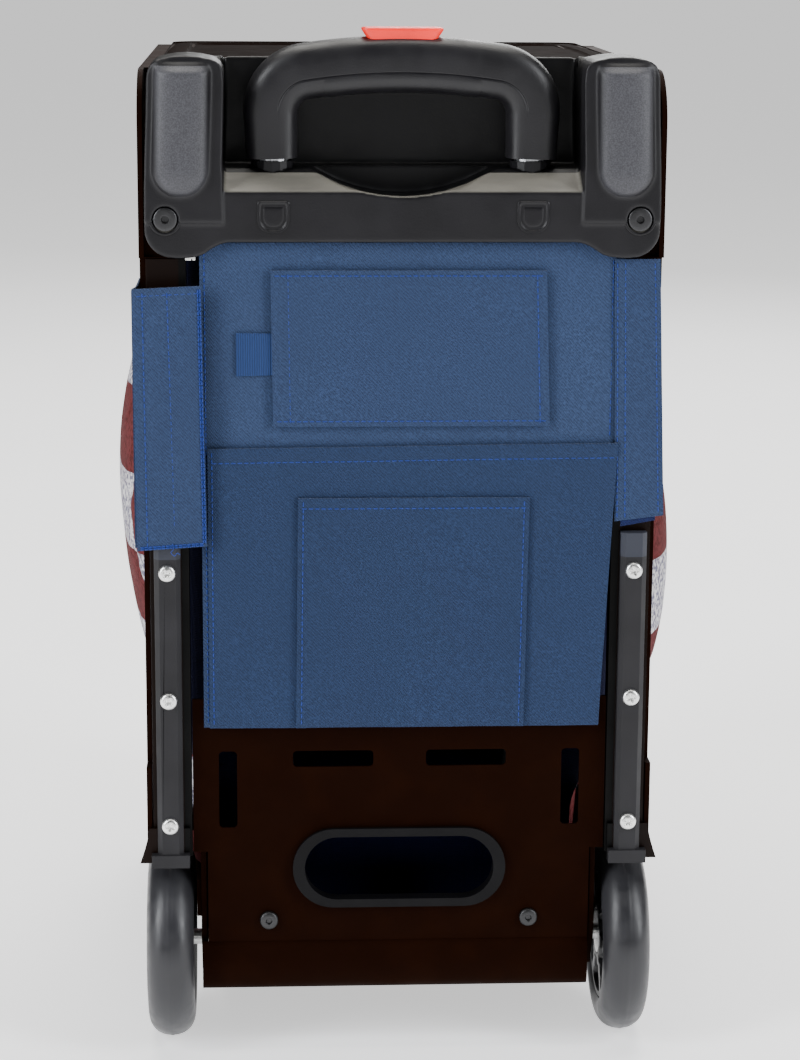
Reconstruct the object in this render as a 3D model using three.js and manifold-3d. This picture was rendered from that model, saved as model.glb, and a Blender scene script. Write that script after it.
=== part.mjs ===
// A rolling bag frame with a seat on top, a stowed telescoping handle and a soft bag inside.
// Millimetres, +Z up, the back of the trolley faces -Y, X runs from its left side to its right side.
import * as THREE from "three";
import { mergeVertices } from "three/addons/utils/BufferGeometryUtils.js";
import Module from "manifold-3d";

const wasm = await Module();
wasm.setup();

// ---------------------------------------------------------------- driving dimensions
const BACK_Y = -154;          // rear face of the rear rails
const GAP = 0.35;               // clearance between pieces that touch
const FRAME_DEPTH = 322;
const FRAME_TOP = 490;
const FRAME_BOTTOM = 34;
const SHEET_OUT = 125.3;        // outer face of the side sheets, from the centre plane
const SHEET = 2.5;              // thickness of the side sheets
const RAIL_OUT = 123;
const RAIL_IN = 103;
const RAIL_DEPTH = 9.5;
const RAIL_BOTTOM = 104;
const RAIL_TOP = 402.5;

const WHEEL_RADIUS = 50;
const WHEEL_WIDTH = 24;
const WHEEL_X = 114.5;
const WHEEL_Y = 30;             // behind the rear rail face towards the front
const RIM_RADIUS = 34;
const BEARING_RADIUS = 11;
const BEARING_WIDTH = 7;
const AXLE_RADIUS = 4;
const ARCH_RADIUS = 60;

const STRIP_X = 113.6;
const STRIP_WIDTH = 12.9;
const STRIP_TOP = 269;
const STRIP_BOTTOM = 106.3;
const STRIP_HEIGHT = 6.6;
const GLIDE_SCREW_Z = [250.4, 186.1, 121.9];

const HOUSING_HALF = 122;
const HOUSING_BOTTOM = 410.6;
const LOBE_BOTTOM = 403.2;
const LOBE_IN = 93.8;
const HOUSING_BACK = -8;        // rear face of the housing plate, from the rail face
const HOUSING_FRONT = 34;
const LEDGE_LOW = 434.5;
const LEDGE_HIGH = 444.6;
const LEDGE_RUN = 15;
const TOWER_IN = 85.6;
const TOWER_TOP = 497.5;
const TOWER_BACK = -12;
const HOUSING_SCREW = [112.3, 421.6];
const HOUSING_WALL = 3;
const PAD = { x: 104.7, half: 12.9, low: 432, top: 488, proud: 4 };
const SCOOP = { chord: 43.8, sag: 13.2 };

const TUBE_X = 61.9;
const TUBE_Y = 15;
const OUTER_TUBE = [9.5, 8.3];  // outside and inside radius
const MIDDLE_TUBE = [8.0, 6.8];
const INNER_TUBE = [6.5, 4.9];
const TUBE_SIDES = 16;
const COLLAR_RADIUS = 9.9;
const COLLAR_TOP = 447.6;
const TUBE_BOTTOM = 126;
const MIDDLE_BOTTOM = 136;
const INNER_BOTTOM = 144;
const PIN_Z = 152;
const ROD_BOTTOM = 159;

const GRIP_BOTTOM = 449.5;
const GRIP_TOP = 506;
const GRIP_HALF = 74.6;
const GRIP_OPEN_HALF = 51;
const GRIP_OPEN_TOP = 481.5;
const GRIP_BACK = 2;
const GRIP_DEPTH = 26;
const BUTTON_HALF = 19.4;
const BUTTON_TOP = 510.2;

const PANEL_TOP = 185;
const PANEL_HALF = 102.4;
const PANEL_LOW_HALF = 95.5;
const PANEL_STEP = 106;
const PANEL_CREASE = 59.2;
const PANEL_SHEET = 1.6;
const STRAP_SLOT = { x: 33, z: 153.8, halfWidth: 19.9, halfHeight: 4.15 };
const SIDE_SLOT = { x: 85.1, z: 138.2, halfWidth: 4.45, halfHeight: 19.8 };
const GROMMET = { z: 97.3, half: 53.2, high: 20.6, hole: 47.2, holeHigh: 16.35 };
const PANEL_SCREW = [65.2, 69.8];

const SEAT_HALF = 117.3;
const SEAT_TOP = 496.7;
const SEAT_REAR = 40;
const SEAT_CORNER = 14;
const FRAME_CORNER = 26;
const WINDOW_EDGE = 34;         // width of the side sheet around its window
const WINDOW_CORNER = 24;

const BAG_BULGE = 147;
const BAG_SIDE = 94;             // half width of the bag inside the frame
const SEGMENTS = 10;            // steps in a quarter-ish arc of an outline

// ---------------------------------------------------------------- materials
function finish(color, roughness, metalness = 0) {
  return new THREE.MeshStandardMaterial({ color: new THREE.Color(color), roughness, metalness });
}
const FINISH = {
  frame: () => finish("#1c0d05", 0.45, 0.6),
  plastic: () => finish("#232426", 0.5),
  glide: () => finish("#1a1614", 0.55),
  steel: () => finish("#b9bbbd", 0.3, 0.95),
  black_steel: () => finish("#303032", 0.4, 0.8),
  aluminium: () => finish("#a9abad", 0.35, 0.9),
  button: () => finish("#e8433c", 0.35),
  soft_grip: () => finish("#1c1c1e", 0.75),
  tyre: () => finish("#26272a", 0.6),
  hub: () => finish("#3a3b3e", 0.5),
  rubber: () => finish("#202021", 0.85),
  blue_fabric: () => finish("#2f4a6e", 0.9),
  bag_fabric: () => finish("#7a2b28", 0.9),
};

// ---------------------------------------------------------------- solid helpers
function toManifold(geometry) {
  const bare = geometry.clone();
  bare.deleteAttribute("normal");
  bare.deleteAttribute("uv");
  const merged = mergeVertices(bare, 1e-4);
  const mesh = new wasm.Mesh({
    numProp: 3,
    vertProperties: new Float32Array(merged.attributes.position.array),
    triVerts: new Uint32Array(merged.index.array),
  });
  return new wasm.Manifold(mesh);
}

function toGeometry(solid) {
  const mesh = solid.getMesh();
  const geometry = new THREE.BufferGeometry();
  geometry.setAttribute("position", new THREE.BufferAttribute(new Float32Array(mesh.vertProperties), 3));
  geometry.setIndex(new THREE.BufferAttribute(new Uint32Array(mesh.triVerts), 1));
  return geometry;
}

function cut(geometry, ...tools) {
  return toGeometry(tools.reduce((solid, tool) => solid.subtract(toManifold(tool)), toManifold(geometry)));
}

function join(geometry, ...others) {
  return toGeometry(others.reduce((solid, other) => solid.add(toManifold(other)), toManifold(geometry)));
}

function common(geometry, other) {
  return toGeometry(toManifold(geometry).intersect(toManifold(other)));
}

function mirrored(geometry) {
  const flipped = geometry.clone();
  flipped.applyMatrix4(new THREE.Matrix4().makeScale(-1, 1, 1));
  const position = flipped.index ? flipped.toNonIndexed() : flipped;
  const array = position.attributes.position.array;
  const turned = new Float32Array(array.length);
  for (let i = 0; i < array.length; i += 9) {
    turned.set(array.slice(i, i + 3), i);
    turned.set(array.slice(i + 6, i + 9), i + 3);
    turned.set(array.slice(i + 3, i + 6), i + 6);
  }
  const result = new THREE.BufferGeometry();
  result.setAttribute("position", new THREE.BufferAttribute(turned, 3));
  return result;
}

// side is -1 for the left piece and 1 for the right one
function onSide(geometry, side) {
  return side < 0 ? mirrored(geometry) : geometry;
}

// A block between two corners; y is measured from the rail face.
function block(x0, x1, y0, y1, z0, z1) {
  const geometry = new THREE.BoxGeometry(x1 - x0, y1 - y0, z1 - z0);
  geometry.translate((x0 + x1) / 2, (y0 + y1) / 2 + BACK_Y, (z0 + z1) / 2);
  return geometry;
}

// An outline in X and Z, pushed from y0 to y1.
function pushY(shape, y0, y1, segments = SEGMENTS, bevel = 0) {
  const geometry = new THREE.ExtrudeGeometry(shape, {
    depth: y1 - y0 - 2 * bevel,
    bevelEnabled: bevel > 0,
    bevelThickness: bevel,
    bevelSize: bevel,
    bevelOffset: -bevel,
    bevelSegments: 2,
    curveSegments: segments,
  });
  geometry.rotateX(Math.PI / 2);
  geometry.translate(0, y1 - bevel + BACK_Y, 0);
  return geometry;
}

// An outline in Y and Z, pushed from x0 to x1.
function pushX(shape, x0, x1, segments = SEGMENTS) {
  const geometry = new THREE.ExtrudeGeometry(shape, {
    depth: x1 - x0, bevelEnabled: false, curveSegments: segments,
  });
  const swap = new THREE.Matrix4().set(0, 0, 1, x0, 1, 0, 0, BACK_Y, 0, 1, 0, 0, 0, 0, 0, 1);
  geometry.applyMatrix4(swap);
  return geometry;
}

// An outline in X and Y, pushed from z0 to z1.
function pushZ(shape, z0, z1, segments = SEGMENTS) {
  const geometry = new THREE.ExtrudeGeometry(shape, {
    depth: z1 - z0, bevelEnabled: false, curveSegments: segments,
  });
  geometry.translate(0, BACK_Y, z0);
  return geometry;
}

function polygon(points) {
  return new THREE.Shape(points.map(([a, b]) => new THREE.Vector2(a, b)));
}

function roundedRect(a0, b0, a1, b1, radius) {
  const shape = new THREE.Shape();
  shape.moveTo(a0 + radius, b0);
  shape.lineTo(a1 - radius, b0);
  shape.absarc(a1 - radius, b0 + radius, radius, -Math.PI / 2, 0);
  shape.lineTo(a1, b1 - radius);
  shape.absarc(a1 - radius, b1 - radius, radius, 0, Math.PI / 2);
  shape.lineTo(a0 + radius, b1);
  shape.absarc(a0 + radius, b1 - radius, radius, Math.PI / 2, Math.PI);
  shape.lineTo(a0, b0 + radius);
  shape.absarc(a0 + radius, b0 + radius, radius, Math.PI, 1.5 * Math.PI);
  return shape;
}

// A round bar along an axis, from its base point; y is measured from the rail face.
function bar(radius, length, axis, x, y, z, sides = 20) {
  const geometry = new THREE.CylinderGeometry(radius, radius, length, sides);
  geometry.translate(0, length / 2, 0);
  if (axis === "x") geometry.rotateZ(-Math.PI / 2);
  if (axis === "z") geometry.rotateX(Math.PI / 2);
  geometry.translate(x, y + BACK_Y, z);
  return geometry;
}

// A turned piece: the profile lists [radius, height] points around a closed loop.
function turned(profile, axis, x, y, z, sides = 24) {
  const points = profile.map(([r, h]) => new THREE.Vector2(r, h));
  points.push(points[0].clone());
  const geometry = new THREE.LatheGeometry(points, sides);
  if (axis === "x") geometry.rotateZ(-Math.PI / 2);
  if (axis === "z") geometry.rotateX(Math.PI / 2);
  geometry.translate(x, y + BACK_Y, z);
  return toGeometry(toManifold(geometry));
}

function ring(outer, inner, z0, z1, x, y, sides) {
  return turned([[inner, 0], [outer, 0], [outer, z1 - z0], [inner, z1 - z0]], "z", x, y, z0, sides);
}

const model = new THREE.Group();

function add(name, geometry, material) {
  const clean = geometry.clone();
  if (clean.attributes.uv) clean.deleteAttribute("uv");
  if (clean.attributes.normal) clean.deleteAttribute("normal");
  clean.computeVertexNormals();
  const mesh = new THREE.Mesh(clean, material);
  mesh.name = name;
  model.add(mesh);
}

function addPair(name, build, material) {
  for (const [side, word] of [[-1, "left"], [1, "right"]]) {
    add(`${name}_${word}`, onSide(build(), side), material());
  }
}

// ---------------------------------------------------------------- frame
function frameOutline(inset) {
  const low = FRAME_BOTTOM + inset;
  return roundedRect(inset, low, FRAME_DEPTH - inset, FRAME_TOP - inset, FRAME_CORNER - inset);
}

// The opening that the bag bulges through; its lower rear corner clears the wheel arch.
function sideOpening(grow) {
  const shape = new THREE.Shape();
  const top = FRAME_TOP - WINDOW_EDGE - grow;
  const low = FRAME_BOTTOM + WINDOW_EDGE - 2 + grow;
  const rear = WINDOW_EDGE + 2 + grow;
  const front = FRAME_DEPTH - WINDOW_EDGE - grow;
  const archTop = WHEEL_RADIUS + ARCH_RADIUS + 18 + grow;
  const r = WINDOW_CORNER;
  shape.moveTo(rear, archTop + 6);
  shape.lineTo(rear + 50, archTop - 14);
  shape.lineTo(rear + 84, low);
  shape.lineTo(front - r, low);
  shape.absarc(front - r, low + r, r, -Math.PI / 2, 0);
  shape.lineTo(front, top - r);
  shape.absarc(front - r, top - r, r, 0, Math.PI / 2);
  shape.lineTo(rear + r, top);
  shape.absarc(rear + r, top - r, r, Math.PI / 2, Math.PI);
  shape.closePath();
  return shape;
}

function sideFrame() {
  const plate = pushX(frameOutline(0), SHEET_OUT - SHEET, SHEET_OUT, 4);
  const flange = cut(
    pushX(frameOutline(0), RAIL_IN + 1, SHEET_OUT - SHEET + 0.01, 4),
    pushX(frameOutline(SHEET), RAIL_IN - 1, SHEET_OUT, 4),
  );
  const arch = bar(ARCH_RADIUS, 60, "x", 90, WHEEL_Y, WHEEL_RADIUS, 28);
  const archFill = block(90, 150, -10, WHEEL_Y + ARCH_RADIUS, 0, WHEEL_RADIUS);
  const railSlot = block(90, 150, -10, RAIL_DEPTH + GAP, 150, RAIL_TOP);
  const rearFlange = block(90, SHEET_OUT - SHEET, -10, RAIL_DEPTH + GAP, RAIL_BOTTOM - 20, RAIL_TOP);
  const housingRoom = block(90, SHEET_OUT - SHEET, -10, HOUSING_FRONT + GAP, LOBE_BOTTOM - GAP, 500);
  const tabRear = HOUSING_FRONT + GAP;
  const tab = block(RAIL_IN + 2, SHEET_OUT - SHEET + 0.1, tabRear, tabRear + SHEET, 405, 440);
  const tabHole = bar(2.2, 20, "y", HOUSING_SCREW[0], HOUSING_FRONT - 8, HOUSING_SCREW[1], 12);
  const window = pushX(sideOpening(0), 100, 150, 4);
  const sheet = cut(join(plate, flange), window, arch, archFill, railSlot, rearFlange, housingRoom);
  return cut(join(sheet, tab), tabHole);
}

// The rear rail is a channel, open towards the front, that carries the glide strip.
function rearRail() {
  const wall = 2;
  const outer = RAIL_OUT - SHEET - GAP + 1.9;
  const section = polygon([
    [RAIL_IN, 0], [outer, 0], [outer, RAIL_DEPTH], [outer - wall, RAIL_DEPTH], [outer - wall, wall],
    [RAIL_IN + wall, wall], [RAIL_IN + wall, RAIL_DEPTH], [RAIL_IN, RAIL_DEPTH],
  ]);
  const holes = GLIDE_SCREW_Z.map((z) => bar(2.6, 8, "y", STRIP_X, -2, z, 12));
  return cut(pushZ(section, RAIL_BOTTOM, RAIL_TOP - GAP), ...holes);
}

function slot({ x, z, halfWidth, halfHeight }, side) {
  const left = side * x - halfWidth;
  return pushY(roundedRect(left, z - halfHeight, left + 2 * halfWidth, z + halfHeight, 2), -6, 12, 3);
}

function backPanel() {
  const t = PANEL_SHEET;
  const profile = polygon([
    [0, PANEL_TOP], [0, PANEL_CREASE], [4, 44], [11, 34.5],
    [11 + t, 35.8], [4 + t, 45.2], [t, PANEL_CREASE + 0.4], [t, PANEL_TOP],
  ]);
  const sheet = pushX(profile, -PANEL_HALF, PANEL_HALF);
  const notches = [-1, 1].map((s) => {
    const x = [s * PANEL_LOW_HALF, s * (PANEL_HALF + 5)].sort((a, b) => a - b);
    return block(x[0], x[1], -5, 20, 20, PANEL_STEP);
  });
  const slots = [-1, 1].flatMap((s) => [slot(STRAP_SLOT, s), slot(SIDE_SLOT, s)]);
  const opening = pushY(grommetOutline(-2.2), -6, 12, 5);
  const screwHoles = [-1, 1].map((s) => bar(2.4, 20, "y", s * PANEL_SCREW[0], -8, PANEL_SCREW[1], 12));
  return cut(sheet, ...notches, ...slots, opening, ...screwHoles);
}

// shrink is measured inwards from the ring's hole, so a negative value is outside it
function grommetOutline(shrink) {
  const { z, hole, holeHigh } = GROMMET;
  const halfWidth = hole - shrink;
  const halfHeight = holeHigh - shrink;
  return roundedRect(-halfWidth, z - halfHeight, halfWidth, z + halfHeight, halfHeight - 0.01);
}

function grommetRing() {
  const { z, half, high } = GROMMET;
  const flange = pushY(roundedRect(-half, z - high, half, z + high, high - 0.01), -2.6, -GAP, 5);
  const neck = pushY(grommetOutline(-1.8), -1.5, 5, 5);
  return cut(join(flange, neck), pushY(grommetOutline(0), -8, 12, 5));
}

function baseTray() {
  const floor = polygon([
    [-95, 14], [95, 14], [95, 96], [RAIL_IN + 0.4, 96], [RAIL_IN + 0.4, 312], [-RAIL_IN - 0.4, 312],
    [-RAIL_IN - 0.4, 96], [-95, 96],
  ]);
  const plate = pushZ(floor, 35.9, 37.9);
  const frontLip = block(-RAIL_IN + 0.2, RAIL_IN - 0.2, 310, 312, 37, 62);
  const rims = [-1, 1].map((s) => {
    const x = [s * (RAIL_IN - 1.8), s * (RAIL_IN + 0.4)].sort((a, b) => a - b);
    return block(x[0], x[1], 96, 312, 36.5, 56);
  });
  return join(plate, frontLip, ...rims);
}

function wheelPlate() {
  const outline = polygon([
    [3, 118], [3, 60], [14, 39], [94, 39], [94, 60], [66, 118],
  ]);
  const plate = pushX(outline, 96.2, 99);
  const cap = block(96.2, RAIL_IN + 0.6, 12, 66, 113, 118);
  return cut(join(plate, cap), bar(AXLE_RADIUS + GAP, 20, "x", 90, WHEEL_Y, WHEEL_RADIUS, 16));
}

function frontCrossbar() {
  return pushX(roundedRect(312.6, 64, 319, 84, 3), -RAIL_IN + 0.6, RAIL_IN - 0.6, 3);
}

function frontFoot() {
  const side = polygon([[270, 33.6], [276, 3], [280, 0], [306, 0], [310, 3], [314, 33.6]]);
  const front = new THREE.Shape();
  front.moveTo(104.5, 33.6);
  front.lineTo(107, 2);
  front.lineTo(109, 0);
  front.lineTo(119.5, 0);
  front.lineTo(121.5, 2);
  front.lineTo(124.5, 33.6);
  front.closePath();
  return common(pushX(side, 100, 130), pushY(front, 260, 320));
}

function seat() {
  const profile = new THREE.Shape();
  profile.moveTo(SEAT_REAR, FRAME_TOP + GAP);
  profile.lineTo(FRAME_DEPTH + 4, FRAME_TOP + GAP);
  profile.absarc(FRAME_DEPTH + 4, FRAME_TOP + GAP + 2, 2, -Math.PI / 2, Math.PI / 3);
  profile.quadraticCurveTo(181, SEAT_TOP + 3.6, 41, FRAME_TOP + 4.2);
  profile.closePath();
  const top = pushX(profile, -SEAT_HALF, SEAT_HALF, 8);
  const planShape = roundedRect(-SEAT_HALF, SEAT_REAR, SEAT_HALF, FRAME_DEPTH + 6, SEAT_CORNER);
  const shell = common(top, pushZ(planShape, FRAME_TOP - 5, SEAT_TOP + 10, 5));
  const half = RAIL_IN - 1;
  const rear = SEAT_REAR + 1;
  const front = FRAME_DEPTH - SHEET - 1;
  const wall = 5;
  const body = block(-half, half, rear, front, FRAME_TOP - 18, FRAME_TOP + 1);
  const hollow = block(-half + wall, half - wall, rear + wall, front - wall, FRAME_TOP - 30, FRAME_TOP - 3);
  return cut(join(shell, body), hollow);
}

add("side_frame_left", onSide(sideFrame(), -1), FINISH.frame());
add("side_frame_right", sideFrame(), FINISH.frame());
addPair("rear_rail", rearRail, FINISH.frame);
add("back_panel", backPanel(), FINISH.frame());
add("grommet_ring", grommetRing(), FINISH.plastic());
add("base_tray", baseTray(), FINISH.frame());
addPair("wheel_plate", wheelPlate, FINISH.frame);
add("front_crossbar", frontCrossbar(), FINISH.frame());
addPair("front_foot", frontFoot, FINISH.rubber);
add("seat", seat(), FINISH.plastic());

// ---------------------------------------------------------------- glides and screws
function glideStrip() {
  const half = STRIP_WIDTH / 2;
  const section = polygon([
    [STRIP_X - half, -GAP], [STRIP_X - half, -STRIP_HEIGHT + 2.4], [STRIP_X - half + 2.4, -STRIP_HEIGHT],
    [STRIP_X + half - 2.4, -STRIP_HEIGHT], [STRIP_X + half, -STRIP_HEIGHT + 2.4], [STRIP_X + half, -GAP],
  ]);
  const strip = pushZ(section, STRIP_BOTTOM, STRIP_TOP);
  const capHalf = 9.4;
  const capLow = STRIP_BOTTOM - 6.2;
  const capBack = -STRIP_HEIGHT - 1;
  const endCap = block(STRIP_X - capHalf, STRIP_X + capHalf, capBack, -GAP, capLow, STRIP_BOTTOM + 0.5);
  const holes = GLIDE_SCREW_Z.map((z) => bar(2.4, 12, "y", STRIP_X, -10, z, 12));
  return cut(join(strip, endCap), ...holes);
}

// A pan-head screw whose shank points to the front.
function panScrew(x, z, seatY, headRadius, shankLength) {
  const profile = [
    [0, 0], [headRadius * 0.55, 0], [headRadius * 0.9, 0.8], [headRadius, 1.9], [headRadius, 2.4],
    [1.9, 2.4], [1.9, 2.4 + shankLength], [0, 2.4 + shankLength],
  ];
  return turned(profile, "y", x, seatY - 2.4, z, 10);
}

addPair("glide_strip", glideStrip, FINISH.glide);
GLIDE_SCREW_Z.forEach((z, i) => {
  addPair(`glide_screw_${i + 1}`, () => panScrew(STRIP_X, z, -STRIP_HEIGHT - 0.2, 4.25, 11), FINISH.steel);
});
addPair("panel_screw", () => panScrew(PANEL_SCREW[0], PANEL_SCREW[1], -0.3, 4.7, 7), FINISH.black_steel);

// ---------------------------------------------------------------- handle housing
function towerOutline() {
  const shape = new THREE.Shape();
  shape.moveTo(TOWER_IN - 0.4, 420);
  shape.lineTo(HOUSING_HALF, 420);
  shape.lineTo(HOUSING_HALF, TOWER_TOP - 10);
  shape.quadraticCurveTo(HOUSING_HALF, TOWER_TOP - 2, HOUSING_HALF - 8, TOWER_TOP - 1);
  shape.quadraticCurveTo(104, TOWER_TOP + 1.5, TOWER_IN + 6.5, TOWER_TOP - 1.5);
  shape.quadraticCurveTo(TOWER_IN + 1, TOWER_TOP - 3, TOWER_IN + 0.8, TOWER_TOP - 8);
  shape.closePath();
  return shape;
}

function towerPad() {
  const { x, half, low, top, proud } = PAD;
  const shape = new THREE.Shape();
  shape.moveTo(x - half, top);
  shape.lineTo(x - half, low + half);
  shape.absarc(x, low + half, half, Math.PI, 2 * Math.PI);
  shape.lineTo(x + half, top);
  shape.quadraticCurveTo(x, top + 6.5, x - half, top);
  return pushY(shape, TOWER_BACK - proud, TOWER_BACK + 3, 6, 2);
}

function housingPlateOutline() {
  const r = 13.5;
  const shape = new THREE.Shape();
  shape.moveTo(-82.9, HOUSING_BOTTOM);
  shape.lineTo(82.9, HOUSING_BOTTOM);
  shape.quadraticCurveTo(88, HOUSING_BOTTOM - 0.5, LOBE_IN, LOBE_BOTTOM + 2.2);
  shape.quadraticCurveTo(98, LOBE_BOTTOM, 104, LOBE_BOTTOM);
  shape.lineTo(HOUSING_HALF - r, LOBE_BOTTOM);
  shape.absarc(HOUSING_HALF - r, LOBE_BOTTOM + r, r, -Math.PI / 2, 0);
  shape.lineTo(HOUSING_HALF, LEDGE_HIGH);
  shape.lineTo(-HOUSING_HALF, LEDGE_HIGH);
  shape.lineTo(-HOUSING_HALF, LOBE_BOTTOM + r);
  shape.absarc(-HOUSING_HALF + r, LOBE_BOTTOM + r, r, Math.PI, 1.5 * Math.PI);
  shape.lineTo(-104, LOBE_BOTTOM);
  shape.quadraticCurveTo(-98, LOBE_BOTTOM, -LOBE_IN, LOBE_BOTTOM + 2.2);
  shape.quadraticCurveTo(-88, HOUSING_BOTTOM - 0.5, -82.9, HOUSING_BOTTOM);
  return shape;
}

function ledgeCut() {
  const slope = polygon([
    [HOUSING_BACK - 5, LEDGE_LOW - 3.4], [HOUSING_BACK + LEDGE_RUN, LEDGE_HIGH],
    [HOUSING_BACK + LEDGE_RUN, 470], [HOUSING_BACK - 5, 470],
  ]);
  return pushX(slope, -TOWER_IN + 0.4, TOWER_IN - 0.4);
}

function fingerScoop() {
  const { chord, sag } = SCOOP;
  const radius = (chord * chord + sag * sag) / (2 * sag);
  const centreZ = LEDGE_HIGH - sag + radius;
  return bar(radius, 27, "y", 0, HOUSING_BACK + 2.2, centreZ, 48);
}

function handleHousing() {
  const plate = pushY(housingPlateOutline(), HOUSING_BACK, HOUSING_FRONT, 5);
  const towers = [-1, 1].map((s) => onSide(pushY(towerOutline(), TOWER_BACK, HOUSING_FRONT, 4, 3), s));
  const pads = [-1, 1].map((s) => onSide(towerPad(), s));
  const innerFront = HOUSING_FRONT - HOUSING_WALL;
  const innerBack = TOWER_BACK + 9;
  const backWall = block(-TOWER_IN - 1, TOWER_IN + 1, innerFront, HOUSING_FRONT, 440, 491);
  const body = join(plate, ...towers, ...pads, backWall);
  const tubeHoles = [-1, 1].map((s) => bar(OUTER_TUBE[0] + GAP, 60, "z", s * TUBE_X, TUBE_Y, 395, 16));
  const collarSeats = [-1, 1].map((s) => bar(10.2, 10, "z", s * TUBE_X, TUBE_Y, 440.6, 16));
  const centreHollow = block(-48, 48, HOUSING_BACK + HOUSING_WALL, innerFront - 1, 395, LEDGE_LOW - 6);
  const rooms = [[76, 118.5, 395, 416], [90, 118.5, 427, 489], [92, 102, 410, 430]];
  const sideHollows = [-1, 1].flatMap((s) => rooms.map(
    ([near, far, low, high]) => onSide(block(near, far, innerBack, innerFront, low, high), s),
  ));
  const screwHoles = [-1, 1].map((s) => bar(2.6, 60, "y", s * HOUSING_SCREW[0], -20, HOUSING_SCREW[1], 12));
  const sinks = [-1, 1].map((s) => bar(6.2, 6, "y", s * HOUSING_SCREW[0], -12.5, HOUSING_SCREW[1], 20));
  const hollows = [ledgeCut(), fingerScoop(), centreHollow, ...sideHollows];
  return cut(body, ...hollows, ...tubeHoles, ...collarSeats, ...screwHoles, ...sinks);
}

add("handle_housing", handleHousing(), FINISH.plastic());
const housingScrew = () => panScrew(HOUSING_SCREW[0], HOUSING_SCREW[1], HOUSING_BACK + 1.2, 5.6, 45);
addPair("housing_screw", housingScrew, FINISH.black_steel);

// ---------------------------------------------------------------- telescoping handle
function gripOutline() {
  const shape = new THREE.Shape();
  const legOut = 72.9;
  shape.moveTo(-legOut, GRIP_BOTTOM);
  shape.lineTo(-GRIP_OPEN_HALF, GRIP_BOTTOM);
  shape.lineTo(-GRIP_OPEN_HALF, GRIP_OPEN_TOP - 12);
  shape.quadraticCurveTo(-GRIP_OPEN_HALF, GRIP_OPEN_TOP, -GRIP_OPEN_HALF + 13, GRIP_OPEN_TOP);
  shape.lineTo(GRIP_OPEN_HALF - 13, GRIP_OPEN_TOP);
  shape.quadraticCurveTo(GRIP_OPEN_HALF, GRIP_OPEN_TOP, GRIP_OPEN_HALF, GRIP_OPEN_TOP - 12);
  shape.lineTo(GRIP_OPEN_HALF, GRIP_BOTTOM);
  shape.lineTo(legOut, GRIP_BOTTOM);
  shape.lineTo(GRIP_HALF, GRIP_OPEN_TOP - 3);
  shape.quadraticCurveTo(GRIP_HALF - 0.5, GRIP_TOP - 8, GRIP_HALF - 20, GRIP_TOP - 4);
  shape.quadraticCurveTo(0, GRIP_TOP + 2.6, -GRIP_HALF + 20, GRIP_TOP - 4);
  shape.quadraticCurveTo(-GRIP_HALF + 0.5, GRIP_TOP - 8, -GRIP_HALF, GRIP_OPEN_TOP - 3);
  shape.closePath();
  return shape;
}

function insertOutline(grow) {
  const shape = new THREE.Shape();
  const half = 38 + grow;
  const low = GRIP_OPEN_TOP - 4;
  const high = GRIP_OPEN_TOP + 1 + grow;
  shape.moveTo(-half, low);
  shape.lineTo(half, low);
  shape.lineTo(half, high - 2);
  shape.lineTo(half - 3, high);
  shape.lineTo(-half + 3, high);
  shape.lineTo(-half, high - 2);
  shape.closePath();
  return shape;
}

function grip() {
  const y0 = GRIP_BACK;
  const y1 = GRIP_BACK + GRIP_DEPTH;
  const body = pushY(gripOutline(), y0, y1, 6, 4);
  const insertSeat = pushY(insertOutline(GAP), y0 - 2, y1 + 2, 4);
  const crossCavity = block(-67.5, 67.5, TUBE_Y - 5, TUBE_Y + 5, 484.9, 497.2);
  const sockets = [-1, 1].map((s) => bar(INNER_TUBE[0] + GAP, 32, "z", s * TUBE_X, TUBE_Y, 440, 16));
  const rodShafts = [-1, 1].map((s) => bar(3.6, 30, "z", s * TUBE_X, TUBE_Y, 460, 12));
  const buttonMouth = block(-BUTTON_HALF - 0.5, BUTTON_HALF + 0.5, TUBE_Y - 9.2, TUBE_Y + 9.2, 497, 520);
  return cut(body, insertSeat, crossCavity, ...sockets, ...rodShafts, buttonMouth);
}

function gripInsert() {
  const y0 = GRIP_BACK + 2;
  const y1 = GRIP_BACK + GRIP_DEPTH - 2;
  const shape = insertOutline(-GAP);
  return pushY(shape, y0, y1, 4, 1);
}

function releaseButton() {
  const cap = polygon([
    [-15.8, 503.4], [15.8, 503.4], [BUTTON_HALF, BUTTON_TOP - 1.4], [BUTTON_HALF - 2, BUTTON_TOP],
    [-BUTTON_HALF + 2, BUTTON_TOP], [-BUTTON_HALF, BUTTON_TOP - 1.4],
  ]);
  const head = pushY(cap, TUBE_Y - 8.6, TUBE_Y + 8.6);
  const neck = block(-14, 14, TUBE_Y - 5, TUBE_Y + 5, 495, 504);
  const beam = block(-66, 66, TUBE_Y - 3.5, TUBE_Y + 3.5, 492.6, 496.6);
  return join(head, neck, beam);
}

function innerTube() {
  const tube = ring(INNER_TUBE[0], INNER_TUBE[1], INNER_BOTTOM, 471.5, TUBE_X, TUBE_Y, 16);
  return cut(tube, bar(2.3, 10, "x", TUBE_X + 1, TUBE_Y, PIN_Z, 12));
}

function lockPin() {
  return bar(2, 5.6, "x", TUBE_X + 0.7, TUBE_Y, PIN_Z, 12);
}

function tubeBracket() {
  const body = block(-76, 76, 3.2, 27, TUBE_BOTTOM - 5, TUBE_BOTTOM + 11);
  const socketLow = TUBE_BOTTOM - GAP;
  const sockets = [-1, 1].map((s) => (
    bar(OUTER_TUBE[0] + GAP, 30, "z", s * TUBE_X, TUBE_Y, socketLow, TUBE_SIDES)
  ));
  const relief = block(-48, 48, 6, 40, TUBE_BOTTOM - 2, TUBE_BOTTOM + 20);
  return cut(body, ...sockets, relief);
}

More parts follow.
